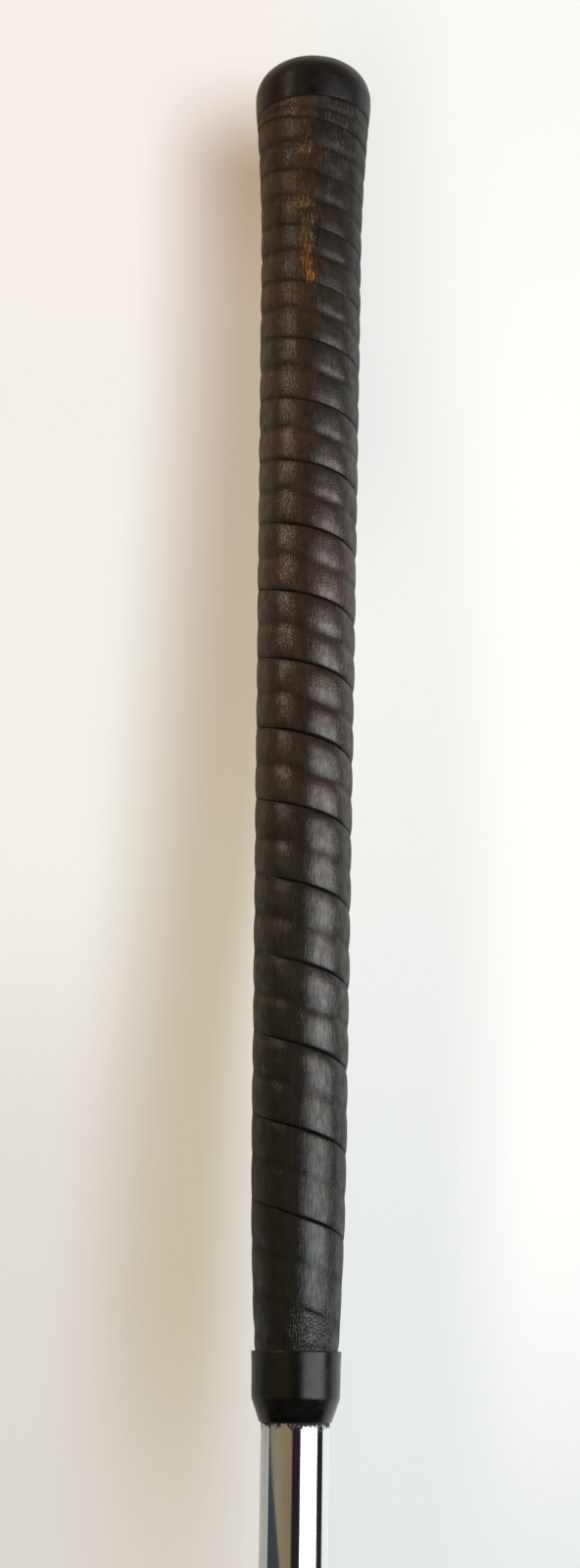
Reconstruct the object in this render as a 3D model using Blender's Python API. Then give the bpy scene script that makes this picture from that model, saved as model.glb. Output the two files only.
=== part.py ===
"""An iron golf club: a forged blade head, a stepped steel shaft and a wound leather grip.

Frame: the shaft's axis is the Z axis, with the butt up. The origin is the middle of the grip cap's
flat end, so the whole club lies below it. The face looks to -Y and the toe lies to -X, which makes
a right-handed club. Metres.

Heights in the constants and functions are measured up the shaft's axis from the ground, with the
club soled. add_object sets every piece down by the club's length, which puts the cap's end at zero.
"""

import math

import bmesh
import bpy
from mathutils import Matrix, Vector

MM = 0.001

# Whole club
CLUB_LENGTH = 952.5 * MM  # 37.5 in, a middle iron
LOFT = math.radians(30)
LIE = math.radians(60)

# Clearances between solids
FIT = 0.1 * MM  # between the thin layers of the grip
SEAT = 0.3 * MM  # between pieces that butt against each other
BOND = 0.2 * MM  # the adhesive film in the hosel

# Facets round a turned piece
ROUND = 32
GRIP_ROUND = 24
SMALL_ROUND = 16

# Grip, measured down from the joint between the cap and the leather
CAP_HEIGHT = 13.9 * MM
CAP_RADIUS = 14.1 * MM
CAP_RIM_RADIUS = 13.9 * MM
CAP_WALL = 5.6 * MM
CAP_TOP_RADIUS = 6.0 * MM
SPIGOT_LENGTH = 16.0 * MM
JOINT_Z = CLUB_LENGTH - CAP_HEIGHT
COLLAR_MOUTH = 292.7 * MM
COLLAR_LENGTH = 14.8 * MM
COLLAR_CHAMFER = 5.0 * MM
COLLAR_RADIUS = 9.6 * MM
COLLAR_WALL = 0.4 * MM
LEATHER_END = 300.0 * MM
LEATHER_THICKNESS = 1.1 * MM
LEATHER_TAIL_THICKNESS = 0.6 * MM
LISTING_END = 292.0 * MM
FLARE_LENGTH = 29.0 * MM
TAIL_START = 247.0 * MM
SEAM_GAP = 0.35 * MM

# Shaft
BUTT_RADIUS = 0.580 * 25.4 * MM / 2
TIP_RADIUS = 0.370 * 25.4 * MM / 2
BUTT_WALL = 0.42 * MM
TIP_WALL = 0.6 * MM
STEPS = 11
FIRST_STEP_Z = 577.0 * MM
STEP_SPACING = 38.0 * MM
STEP_RAMP = 1.2 * MM
SHAFT_TOP_Z = JOINT_Z + 8.0 * MM

# Hosel
HOSEL_RADIUS = 6.7 * MM
HOSEL_TOP = 68.0 * MM
HOSEL_BASE = 36.0 * MM
BORE_FLOOR = 32.0 * MM
SHAFT_TIP_Z = 33.0 * MM
PIN_Z = 50.0 * MM
PIN_RADIUS = 1.2 * MM
FERRULE_LENGTH = 16.0 * MM

# Blade, in the address frame: x heel to toe, y towards the target, z up from the ground
HEEL_X = 14.0 * MM
TOE_X = 80.0 * MM
TOE_START_X = 60.0 * MM
FACE_Y = 4.6 * MM  # where the face plane meets the ground
HEEL_TOP = 25.5 * MM
TOE_TOP = 47.5 * MM
TOE_TIP_Z = 25.0 * MM
SOLE_WIDTH = 17.5 * MM
HEEL_SOLE_WIDTH = 14.5 * MM
SOLE_CAMBER = 1.6 * MM
SOLE_ROCKER = 0.32 / (240 * MM)  # rise over the square of the distance from the middle
TOP_THICKNESS = 4.2 * MM
MUSCLE_THICKNESS = 9.0 * MM
GROOVES = 11
GROOVE_PITCH = 3.4 * MM
GROOVE_WIDTH = 0.8 * MM
GROOVE_DEPTH = 0.45 * MM
GROOVE_HEEL_X = 16.0 * MM
GROOVE_TOE_X = 63.0 * MM


def material(name, colour, roughness, metallic=0.0):
    made = bpy.data.materials.new(name)
    made.use_nodes = True
    shader = made.node_tree.nodes["Principled BSDF"]
    shader.inputs["Base Color"].default_value = (*colour, 1.0)
    shader.inputs["Roughness"].default_value = roughness
    shader.inputs["Metallic"].default_value = metallic
    made.diffuse_color = (*colour, 1.0)
    return made


def add_object(name, mesh_builder, finish):
    """Turns a bmesh into a named object with one material, smooth except at sharp edges."""
    bmesh.ops.recalc_face_normals(mesh_builder, faces=mesh_builder.faces[:])
    mesh = bpy.data.meshes.new(name)
    mesh_builder.to_mesh(mesh)
    mesh_builder.free()
    mesh.materials.append(finish)
    mesh.shade_smooth()
    mesh.set_sharp_from_angle(angle=math.radians(30))
    made = bpy.data.objects.new(name, mesh)
    made.location.z = -CLUB_LENGTH
    bpy.context.scene.collection.objects.link(made)
    return made


def turned(name, outline, finish, facets=ROUND):
    """A solid of revolution about Z. The outline is a closed loop, or a path with both ends on the axis."""
    shape = bmesh.new()
    points = [shape.verts.new((radius, 0.0, height)) for radius, height in outline]
    edges = [shape.edges.new(pair) for pair in zip(points, points[1:])]
    if outline[0][0] > 0:
        edges.append(shape.edges.new((points[-1], points[0])))
    bmesh.ops.spin(
        shape,
        geom=points + edges,
        axis=(0, 0, 1),
        cent=(0, 0, 0),
        angle=math.tau,
        steps=facets,
        use_duplicate=False,
    )
    bmesh.ops.remove_doubles(shape, verts=shape.verts[:], dist=0.002 * MM)
    bmesh.ops.dissolve_degenerate(shape, edges=shape.edges[:], dist=0.002 * MM)
    return add_object(name, shape, finish)


def lofted(name, rings, finish):
    """A closed skin through rings of the same number of points, with both ends filled."""
    shape = bmesh.new()
    rows = [[shape.verts.new(point) for point in ring] for ring in rings]
    for lower, upper in zip(rows, rows[1:]):
        for index in range(len(lower)):
            after = (index + 1) % len(lower)
            shape.faces.new((lower[index], lower[after], upper[after], upper[index]))
    shape.faces.new(rows[0])
    shape.faces.new(rows[-1])
    return add_object(name, shape, finish)


def cut(target, cutter):
    """Subtracts the cutter, which stays as a hidden guide."""
    cutter.hide_render = True
    cutter.display_type = "WIRE"
    boolean = target.modifiers.new("cut_" + cutter.name, "BOOLEAN")
    boolean.operation = "DIFFERENCE"
    boolean.object = cutter


def arc(centre_radius, centre_height, reach, rise, start, end, steps):
    """Points along an elliptical arc, as (radius, height)."""
    angles = [math.radians(start + (end - start) * step / steps) for step in range(steps + 1)]
    return [
        (centre_radius + reach * math.cos(angle), centre_height + rise * math.sin(angle))
        for angle in angles
    ]


# ---------------------------------------------------------------- grip


def leather_radius(distance):
    """Outer radius of the leather at a distance below the cap joint: a taper, a flare and a tail."""
    radius = 12.48 * MM - 0.0076 * distance
    if distance < FLARE_LENGTH:
        radius += 1.28 * MM * (1 - max(distance, 0.0) / FLARE_LENGTH) ** 1.25
    if distance > TAIL_START:
        radius -= 1.03 * MM * ((distance - TAIL_START) / (44 * MM)) ** 2.2
    return radius


def leather_thickness(distance):
    """The strip is skived thin where its tail goes under the collar."""
    share = min(max((distance - 267 * MM) / (30 * MM), 0.0), 1.0)
    return LEATHER_THICKNESS + (LEATHER_TAIL_THICKNESS - LEATHER_THICKNESS) * share


def listing_radius(distance):
    return leather_radius(distance) - leather_thickness(distance) - FIT


def seam_distance(turns):
    """How far below the cap joint the seam is after a number of turns. The winding opens downwards."""
    return (16.0 + 13.85 * turns + 0.161 * turns * turns) * MM


def tape_radius():
    return BUTT_RADIUS + FIT + 0.15 * MM


def end_cap(finish):
    """A moulded dome over the end of the grip, with a spigot that goes down into the shaft."""
    rim = JOINT_Z + SEAT
    seat = SHAFT_TOP_Z + SEAT
    socket = BUTT_RADIUS + 0.25 * MM
    spigot = bore_radius(SHAFT_TOP_Z) - 0.25 * MM
    foot = seat - SPIGOT_LENGTH
    dome = arc(
        CAP_TOP_RADIUS,
        JOINT_Z + CAP_WALL,
        CAP_RADIUS - CAP_TOP_RADIUS,
        CAP_HEIGHT - CAP_WALL,
        0,
        90,
        8,
    )
    outline = [
        (0.0, foot),
        (spigot - 1.0 * MM, foot),
        (spigot - 0.2 * MM, foot + 1.0 * MM),
        (spigot - 0.2 * MM, seat),
        (socket, seat),
        (socket, rim),
        (CAP_RIM_RADIUS - 0.4 * MM, rim),
        (CAP_RIM_RADIUS, rim + 0.4 * MM),
        *dome,
        (0.0, CLUB_LENGTH),
    ]
    return turned("end_cap", outline, finish)


def grip_tape(finish):
    """Paper tape round the shaft, under the rubber sleeve."""
    inner = BUTT_RADIUS + FIT
    outer = tape_radius()
    low = JOINT_Z - LEATHER_END
    high = JOINT_Z - 1.0 * MM
    outline = [(inner, low), (outer, low), (outer, high), (inner, high)]
    return turned("grip_tape", outline, finish, GRIP_ROUND)


def underlisting(finish):
    """The rubber sleeve that gives the grip its shape, from the cap to the collar's mouth."""
    inner = tape_radius() + FIT
    low = JOINT_Z - LISTING_END
    shares = [0, 0.01, 0.02, 0.03, 0.045, 0.06, 0.08, 0.11, 0.85, 0.88, 0.91, 0.94, 0.97, 1]
    stations = [LISTING_END * share for share in reversed(shares)]
    outline = [(inner, JOINT_Z), (inner, low)]
    outline += [(listing_radius(station), JOINT_Z - station) for station in stations]
    return turned("underlisting", outline, finish, GRIP_ROUND)


def leather_strip(finish):
    """One strip wound down the grip, cut on the slant at both ends so that they finish square."""
    bevel = 0.6 * MM
    edge_drop = 0.4 * MM
    crease_drop = 0.2 * MM
    first_turn, last_turn = -2.125, 17.0
    count = round((last_turn - first_turn) * GRIP_ROUND)
    rings = []
    for index in range(count + 1):
        turns = first_turn + index / GRIP_ROUND
        top = max(seam_distance(turns) + SEAM_GAP / 2, 0.0)
        bottom = min(seam_distance(turns + 1) - SEAM_GAP / 2, LEATHER_END)
        middle = (top + bottom) / 2
        slope = min(bevel, (bottom - top) / 4)
        section = [
            (top, 1.0),
            (bottom, 1.0),
            (bottom, edge_drop / LEATHER_THICKNESS),
            (bottom - slope, 0.0),
            (middle, crease_drop / LEATHER_THICKNESS),
            (top + slope, 0.0),
            (top, edge_drop / LEATHER_THICKNESS),
        ]
        angle = math.tau * (turns - 0.5)
        direction = Vector((math.cos(angle), math.sin(angle), 0.0))
        ring = []
        for distance, depth in section:
            radius = leather_radius(distance) - depth * leather_thickness(distance)
            ring.append(direction * radius + Vector((0, 0, JOINT_Z - distance)))
        rings.append(ring)
    return lofted("leather_strip", rings, finish)


def strip_end_tape(finish):
    """The binding that holds the strip's tail, hidden inside the collar."""
    start = LEATHER_END - 3.0 * MM
    end = LEATHER_END - 0.4 * MM
    outline = [
        (leather_radius(start) + FIT, JOINT_Z - start),
        (leather_radius(start) + FIT + 0.15 * MM, JOINT_Z - start),
        (leather_radius(start) + FIT + 0.15 * MM, JOINT_Z - end),
        (leather_radius(start) + FIT, JOINT_Z - end),
    ]
    return turned("strip_end_tape", outline, finish, GRIP_ROUND)


def grip_collar(finish):
    """The ring over the leather's tail, with a chamfer down to the shaft."""
    mouth = JOINT_Z - COLLAR_MOUTH
    low = mouth - COLLAR_LENGTH
    shoulder = low + COLLAR_CHAMFER
    inside = COLLAR_RADIUS - COLLAR_WALL
    lip = BUTT_RADIUS + FIT
    outline = [
        (lip, low),
        (lip + 0.25 * MM, low),
        (COLLAR_RADIUS - 0.05 * MM, shoulder),
        (COLLAR_RADIUS, shoulder + 0.3 * MM),
        (COLLAR_RADIUS + 0.04 * MM, mouth - 2.0 * MM),
        (COLLAR_RADIUS + 0.13 * MM, mouth - 0.2 * MM),
        (COLLAR_RADIUS + 0.05 * MM, mouth),
        (inside, mouth),
        (inside, JOINT_Z - LEATHER_END - 0.4 * MM),
        (lip, JOINT_Z - LEATHER_END - 0.4 * MM),
    ]
    return turned("grip_collar", outline, finish)


# ---------------------------------------------------------------- shaft


def shaft_radius(step):
    return BUTT_RADIUS + (TIP_RADIUS - BUTT_RADIUS) * step / STEPS


def bore_radius(height):
    """The bore is a plain taper, so the wall is thickest just above each step."""
    last_step_z = FIRST_STEP_Z - (STEPS - 1) * STEP_SPACING
    share = min(max((FIRST_STEP_Z - height) / (FIRST_STEP_Z - last_step_z), 0.0), 1.0)
    butt = BUTT_RADIUS - BUTT_WALL
    tip = TIP_RADIUS - TIP_WALL
    return butt + (tip - butt) * share


def shaft(finish):
    """The stepped tube, a little thinner after each of its steps."""
    outline = [(BUTT_RADIUS - 0.2 * MM, SHAFT_TOP_Z), (BUTT_RADIUS, SHAFT_TOP_Z - 0.2 * MM)]
    for step in range(STEPS):
        height = FIRST_STEP_Z - step * STEP_SPACING
        outline.append((shaft_radius(step), height))
        outline.append((shaft_radius(step + 1), height - STEP_RAMP))
    outline.append((TIP_RADIUS, PIN_Z + 3 * MM))
    outline.append((TIP_RADIUS, PIN_Z - 3 * MM))
    outline.append((TIP_RADIUS, SHAFT_TIP_Z + 0.4 * MM))
    outline.append((TIP_RADIUS - 0.3 * MM, SHAFT_TIP_Z))
    last_step_z = FIRST_STEP_Z - (STEPS - 1) * STEP_SPACING - 2 * MM
    for height in (SHAFT_TIP_Z, last_step_z, FIRST_STEP_Z, SHAFT_TOP_Z):
        outline.append((bore_radius(height), height))
    return turned("shaft", outline, finish)


# ---------------------------------------------------------------- head


def blade_outline(x):
    """Lowest and highest z of the blade at a place between heel and toe."""
    middle = (HEEL_X + TOE_START_X) / 2
    low = SOLE_ROCKER * (x - middle) ** 2
    high = HEEL_TOP + (TOE_TOP - HEEL_TOP) * (x - HEEL_X) / (TOE_START_X - HEEL_X)
    if x <= TOE_START_X:
        return low, high
    share = min((x - TOE_START_X) / (TOE_X - TOE_START_X), 1.0)
    kept = (1 - share**2.4) ** (1 / 2.4)
    ease = (TOE_TOP - HEEL_TOP) / (TOE_START_X - HEEL_X) * (x - TOE_START_X) * kept
    low_full = SOLE_ROCKER * (TOE_START_X - middle) ** 2
    low = TOE_TIP_Z + (low_full - TOE_TIP_Z) * kept
    high = TOE_TIP_Z + (TOE_TOP + ease - TOE_TIP_Z) * kept
    return low, high


def blade_section(x):
    """The closed outline of the blade at x, as points in the address frame.

    It runs up the face, over the top line, down the back with its muscle, and along the sole. The
    sole has a narrow flat in its middle, between two cambered parts.
    """
    low, high = blade_outline(x)
    height = high - low
    across = (x - HEEL_X) / (TOE_START_X - HEEL_X)
    width = HEEL_SOLE_WIDTH + (SOLE_WIDTH - HEEL_SOLE_WIDTH) * min(across, 1.0)
    toeward = max(x - TOE_START_X, 0.0) / (TOE_X - TOE_START_X)
    fullness = math.sqrt(1 - min(toeward, 1.0) ** 2)
    sole = TOP_THICKNESS + (width - TOP_THICKNESS) * fullness
    muscle = TOP_THICKNESS + (MUSCLE_THICKNESS - TOP_THICKNESS) * fullness
    edge = min(1.3 * MM, height / 6)
    up = Vector((0.0, -math.sin(LOFT), math.cos(LOFT)))
    back = Vector((0.0, -math.cos(LOFT), -math.sin(LOFT)))
    lead = Vector((x, FACE_Y - low * math.tan(LOFT), low))
    face_length = height / math.cos(LOFT)

    def at(along, behind):
        return lead + up * along + back * behind

    start = edge * 1.4
    stop = face_length - edge * 0.9
    points = [at(start + (stop - start) * step / 6, 0.0) for step in range(7)]
    points.append(at(face_length - edge * 0.3, edge * 0.3))
    points.append(at(face_length - edge * 0.1, TOP_THICKNESS * 0.5))
    points.append(at(face_length - edge * 0.3, TOP_THICKNESS - edge * 0.3))
    points.append(at(face_length - edge, TOP_THICKNESS))
    shoulder = 0.56 * face_length
    for share in (0.82, 0.68):
        points.append(at(face_length * share, TOP_THICKNESS + 0.4 * MM * (1 - share)))
    for share in (0.0, 0.25, 0.5, 0.75, 1.0):
        smooth = share * share * (3 - 2 * share)
        depth = TOP_THICKNESS + 0.2 * MM + (muscle - TOP_THICKNESS - 0.2 * MM) * smooth
        points.append(at(shoulder - 0.16 * face_length * share, depth))
    level = Vector((0.0, -1.0, 0.0))
    along_sole = (level * fullness + back * (1 - fullness)).normalized()
    trail = lead + along_sole * sole
    upper_trail = at(0.30 * face_length, muscle + 0.6 * MM * fullness)
    trail_top = trail + Vector((0.0, 0.2 * MM, min(5.0 * MM, height * 0.2)))
    points.append(upper_trail)
    points.append(upper_trail.lerp(trail_top, 0.6))
    points.append(trail_top)
    points.append(trail + Vector((0.0, 0.25 * MM, min(3.2 * MM, height * 0.13))))
    points.append(trail + Vector((0.0, 1.0 * MM, min(2.1 * MM, height * 0.085))))
    for share in (0.12, 0.26, 0.4, 0.6, 0.74, 0.88):
        off_flat = abs(share - 0.5) - 0.1
        rise = 6.25 * SOLE_CAMBER * fullness * off_flat * off_flat
        points.append(trail - along_sole * sole * share + Vector((0.0, 0.0, rise)))
    points.append(lead + Vector((0.0, -edge * 0.25, edge * 0.95)))
    points.append(lead + up * edge * 1.15 + back * edge * 0.06)
    return points


def hosel_ring(height, radius, count):
    """A ring round the shaft axis, in the address frame, that starts at the foot of the face."""
    axis = Vector((-math.cos(LIE), 0.0, math.sin(LIE)))
    toeward = Vector((math.sin(LIE), 0.0, math.cos(LIE)))
    points = []
    for index in range(count):
        angle = math.radians(-48) + math.tau * index / count
        around = Vector((0.0, math.cos(angle), 0.0)) + toeward * math.sin(angle)
        points.append(axis * height + around * radius)
    return points


def neck_rings(steps):
    """Rings that turn from the heel of the blade into the round hosel along smooth curves."""
    axis = Vector((-math.cos(LIE), 0.0, math.sin(LIE)))
    step_x = 0.5 * MM
    heel = blade_section(HEEL_X)
    beyond = blade_section(HEEL_X + step_x)
    base = hosel_ring(HOSEL_BASE, HOSEL_RADIUS, len(heel))
    rings = []
    for step in range(1, steps + 1):
        share = step / steps
        rest = 1 - share
        ring = []
        for start, ahead, end in zip(heel, beyond, base):
            leaving = (start - ahead).normalized()
            span = (end - start).length
            first = start + leaving * span * 0.3
            second = end - axis * span * 0.5
            ring.append(
                start * rest**3
                + first * 3 * rest * rest * share
                + second * 3 * rest * share * share
                + end * share**3
            )
        rings.append(ring)
    return rings


def to_club_frame():
    """Stands the soled head up, so that its hosel lies along +Z and its face looks to -Y."""
    stand = Matrix.Rotation(math.pi, 4, "Z") @ Matrix.Rotation(math.pi / 2 - LIE, 4, "Y")
    return Matrix.Translation((0.0, 0.0, -CLUB_LENGTH)) @ stand


def groove_cutter(finish):
    """The score lines, cut short at the heel where the top line comes down."""
    up = Vector((0.0, -math.sin(LOFT), math.cos(LOFT)))
    shape = bmesh.new()
    length = GROOVE_TOE_X - GROOVE_HEEL_X
    rise_length = (TOE_START_X - HEEL_X) / (TOE_TOP - HEEL_TOP)
    for index in range(GROOVES):
        low, _ = blade_outline((GROOVE_HEEL_X + GROOVE_TOE_X) / 2)
        along = 4.4 * MM + GROOVE_PITCH * index
        topline_height = (along + 3.8 * MM) * math.cos(LOFT)
        topline_x = HEEL_X + (topline_height - HEEL_TOP) * rise_length
        heel_trim = max(0.0, topline_x - GROOVE_HEEL_X)
        centre = Vector((GROOVE_HEEL_X + length / 2, FACE_Y - low * math.tan(LOFT), low))
        centre += up * along
        centre.x += heel_trim / 2
        made = bmesh.ops.create_cube(shape, size=1.0)["verts"]
        size = (length - heel_trim, 2 * GROOVE_DEPTH, GROOVE_WIDTH)
        bmesh.ops.scale(shape, vec=size, verts=made)
        tilt = Matrix.Rotation(LOFT, 3, "X")
        bmesh.ops.rotate(shape, cent=(0, 0, 0), matrix=tilt, verts=made)
        bmesh.ops.translate(shape, vec=centre, verts=made)
    cutter = add_object("groove_cutter", shape, finish)
    cutter.matrix_world = to_club_frame()
    return cutter


def pin_hole_cutter(name, finish):
    shape = bmesh.new()
    bmesh.ops.create_cone(
        shape,
        cap_ends=True,
        segments=SMALL_ROUND,
        radius1=PIN_RADIUS + BOND,
        radius2=PIN_RADIUS + BOND,
        depth=40 * MM,
    )
    cutter = add_object(name, shape, finish)
    cutter.rotation_euler = (math.pi / 2, 0.0, 0.0)
    cutter.location.z += PIN_Z
    return cutter


def club_head(finish):
    """The forging in one skin: the blade from toe to heel, the neck, the hosel and its bore."""
    blade_stations = [HEEL_X + (TOE_START_X - HEEL_X) * step / 7 for step in range(8)]
    toe_angles = [math.radians(angle) for angle in (16, 31, 44, 55, 65, 74, 81, 86)]
    toe_stations = [TOE_START_X + (TOE_X - TOE_START_X) * math.sin(angle) for angle in toe_angles]
    stations = blade_stations + toe_stations
    rings = [blade_section(x) for x in reversed(stations)]
    count = len(rings[0])
    bore = TIP_RADIUS + BOND
    rings += neck_rings(9)
    for height in (PIN_Z - 3 * MM, PIN_Z + 3 * MM, HOSEL_TOP - 0.5 * MM):
        rings.append(hosel_ring(height, HOSEL_RADIUS, count))
    rings.append(hosel_ring(HOSEL_TOP, HOSEL_RADIUS - 0.5 * MM, count))
    rings.append(hosel_ring(HOSEL_TOP, bore, count))
    rings.append(hosel_ring(BORE_FLOOR, bore, count))
    head = lofted("club_head", rings, finish)
    head.matrix_world = to_club_frame()
    cut(head, groove_cutter(finish))
    cut(head, pin_hole_cutter("hosel_pin_hole_cutter", finish))
    return head


def hosel_pin(finish):
    """The rivet through the hosel and the shaft, flush at both ends."""
    length = 2 * (HOSEL_RADIUS - 0.25 * MM)
    shape = bmesh.new()
    bmesh.ops.create_cone(
        shape,
        cap_ends=True,
        segments=SMALL_ROUND,
        radius1=PIN_RADIUS,
        radius2=PIN_RADIUS,
        depth=length,
    )
    pin = add_object("hosel_pin", shape, finish)
    pin.rotation_euler = (math.pi / 2, 0.0, 0.0)
    pin.location.z += PIN_Z
    return pin


def hosel_ferrule(finish):
    """A tapered ring that carries the hosel's outline down to the shaft."""
    low = HOSEL_TOP + SEAT
    high = low + FERRULE_LENGTH
    bore = TIP_RADIUS + BOND
    base = HOSEL_RADIUS - 0.05 * MM
    tip = bore + 0.5 * MM
    shares = [step / 6 for step in range(7)]
    outline = [(bore, low)]
    outline += [
        (base + (tip - base) * share**1.5, low + (high - low) * (0.08 + 0.92 * share))
        for share in shares
    ]
    outline.insert(1, (base, low))
    outline.append((bore, high))
    return turned("hosel_ferrule", outline, finish)


def tip_slug(name, low, high, finish):
    """A plain plug inside the tip of the shaft: the swing weight or the cork above it."""
    radius = bore_radius(low) - BOND
    outline = [(0.0, low), (radius, low), (radius, high), (0.0, high)]
    return turned(name, outline, finish, GRIP_ROUND)


def clear_scene():
    for old in list(bpy.data.objects):
        bpy.data.objects.remove(old)


def main():
    clear_scene()
    black_plastic = material("black_plastic", (0.012, 0.012, 0.013), 0.35)
    leather = material("leather", (0.045, 0.028, 0.022), 0.45)
    rubber = material("listing_rubber", (0.05, 0.06, 0.05), 0.8)
    paper_tape = material("paper_tape", (0.62, 0.55, 0.4), 0.85)
    cloth_tape = material("cloth_tape", (0.03, 0.03, 0.03), 0.8)
    chrome = material("chrome", (0.8, 0.81, 0.82), 0.06, 1.0)
    forged_chrome = material("forged_chrome", (0.72, 0.73, 0.74), 0.2, 1.0)
    steel = material("pin_steel", (0.5, 0.5, 0.5), 0.35, 1.0)
    brass = material("brass", (0.66, 0.5, 0.24), 0.4, 1.0)
    cork = material("cork", (0.5, 0.34, 0.2), 0.9)

    end_cap(black_plastic)
    grip_tape(paper_tape)
    underlisting(rubber)
    leather_strip(leather)
    strip_end_tape(cloth_tape)
    grip_collar(black_plastic)
    tube = shaft(chrome)
    cut(tube, pin_hole_cutter("shaft_pin_hole_cutter", steel))
    hosel_ferrule(black_plastic)
    club_head(forged_chrome)
    hosel_pin(steel)
    tip_slug("tip_weight", SHAFT_TIP_Z + 1 * MM, PIN_Z - 3 * MM, brass)
    tip_slug("tip_cork", PIN_Z + 4 * MM, PIN_Z + 16 * MM, cork)


main()
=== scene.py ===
"""The looks of the iron golf club: its wound leather grip, cap, collar, stepped chrome shaft and forged head.

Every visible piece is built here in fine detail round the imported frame. The frame's Z axis is the
shaft's axis with the butt up, the toe lies to -X and the face looks to -Y. Metres, and
millimetres inside the materials.
"""

import math

import bmesh
import bpy
from mathutils import Euler, Matrix, Vector, noise


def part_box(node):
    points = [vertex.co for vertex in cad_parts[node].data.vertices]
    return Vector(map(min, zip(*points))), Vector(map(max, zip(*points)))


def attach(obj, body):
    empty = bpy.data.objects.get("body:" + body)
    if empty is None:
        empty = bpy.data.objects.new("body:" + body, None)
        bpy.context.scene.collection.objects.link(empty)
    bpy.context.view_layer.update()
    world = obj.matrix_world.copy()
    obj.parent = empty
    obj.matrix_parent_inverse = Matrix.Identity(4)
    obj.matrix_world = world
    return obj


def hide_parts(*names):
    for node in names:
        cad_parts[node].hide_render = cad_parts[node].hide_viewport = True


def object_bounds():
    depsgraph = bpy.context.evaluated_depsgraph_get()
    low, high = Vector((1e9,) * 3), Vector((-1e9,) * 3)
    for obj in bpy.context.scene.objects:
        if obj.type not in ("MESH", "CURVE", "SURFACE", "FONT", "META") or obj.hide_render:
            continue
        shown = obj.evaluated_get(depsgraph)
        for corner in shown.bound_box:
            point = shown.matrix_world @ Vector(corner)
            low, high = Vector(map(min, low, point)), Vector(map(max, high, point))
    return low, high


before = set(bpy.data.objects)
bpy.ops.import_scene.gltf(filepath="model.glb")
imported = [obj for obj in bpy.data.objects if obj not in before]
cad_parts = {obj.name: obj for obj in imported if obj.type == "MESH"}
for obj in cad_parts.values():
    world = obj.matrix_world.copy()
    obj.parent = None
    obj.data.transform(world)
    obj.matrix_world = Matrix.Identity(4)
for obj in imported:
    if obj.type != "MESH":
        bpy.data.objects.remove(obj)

MM = 0.001
CAD_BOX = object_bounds()

# Places on the shaft's axis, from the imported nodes
BUTT_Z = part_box("end_cap")[1].z
JOINT_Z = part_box("leather_strip")[1].z
CAP_SKIRT = 3.0 * MM
DATUM_Z = JOINT_Z + CAP_SKIRT  # places along the grip are measured down from here
LEATHER_LOW_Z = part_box("leather_strip")[0].z
COLLAR_HIGH_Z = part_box("grip_collar")[1].z
COLLAR_LOW_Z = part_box("grip_collar")[0].z
SHAFT_HIGH_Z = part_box("shaft")[1].z
SHAFT_LOW_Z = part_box("shaft")[0].z
FERRULE_LOW_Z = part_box("hosel_ferrule")[0].z
FERRULE_HIGH_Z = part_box("hosel_ferrule")[1].z
HOSEL_TOP_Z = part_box("club_head")[1].z
PIN_Z = (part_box("hosel_pin")[0].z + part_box("hosel_pin")[1].z) / 2

# Radii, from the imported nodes
CAP_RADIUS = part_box("end_cap")[1].x
BUTT_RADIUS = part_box("shaft")[1].x
COLLAR_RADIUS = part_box("grip_collar")[1].x
FERRULE_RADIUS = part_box("hosel_ferrule")[1].x

# Club
CLUB_LENGTH = 952.5 * MM
GROUND_Z = BUTT_Z - CLUB_LENGTH
LOFT = math.radians(30)
LIE = math.radians(60)

# Leather
COLLAR_MOUTH = DATUM_Z - COLLAR_HIGH_Z
LEATHER_LENGTH = DATUM_Z - LEATHER_LOW_Z
FIRST_TURN, LAST_TURN = -2.16, 17.0
STEPS_PER_TURN = 110
ACROSS = 40
LEATHER_THICKNESS = 1.1 * MM
SEAM_HALF_GAP = 0.02 * MM
SEAM_DEPTH = 0.27 * MM
SEAM_HALF_WIDTH = 0.34 * MM
PILLOW_DEPTH = 0.39 * MM
PILLOW_POWER = 3.0
LAP = 0.12 * MM
PRESSED_FROM, PRESSED_TO = 272 * MM, 279 * MM
OPEN_CUT_MIDDLE, OPEN_CUT_HALF_WIDTH = 16.31, 0.05

# Shaft
TIP_RADIUS = 0.370 * 25.4 * MM / 2
STEPS = 11
FIRST_STEP_Z = GROUND_Z + 577.0 * MM
STEP_SPACING = 38.0 * MM
STEP_RAMP = 1.2 * MM

# Head, in the address frame: x heel to toe, y towards the target, z up from the ground
HOSEL_RADIUS = 6.7 * MM
HOSEL_TOP = HOSEL_TOP_Z - GROUND_Z
HOSEL_BASE = 36.0 * MM
BORE_FLOOR = 32.0 * MM
PIN_HEIGHT = PIN_Z - GROUND_Z
PIN_RADIUS = 1.2 * MM
HEEL_X = 14.0 * MM
TOE_X = 80.0 * MM
TOE_START_X = 60.0 * MM
FACE_Y = 4.6 * MM
HEEL_TOP = 25.5 * MM
TOE_TOP = 47.5 * MM
TOE_TIP_Z = 25.0 * MM
SOLE_WIDTH = 17.5 * MM
HEEL_SOLE_WIDTH = 14.5 * MM
SOLE_CAMBER = 1.6 * MM
SOLE_ROCKER = 0.32 / (240 * MM)
TOP_THICKNESS = 4.2 * MM
MUSCLE_THICKNESS = 9.0 * MM
GROOVES = 11
GROOVE_PITCH = 3.4 * MM
GROOVE_WIDTH = 0.85 * MM
GROOVE_DEPTH = 0.42 * MM
GROOVE_HEEL_X = 16.0 * MM
GROOVE_TOE_X = 63.0 * MM

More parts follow.
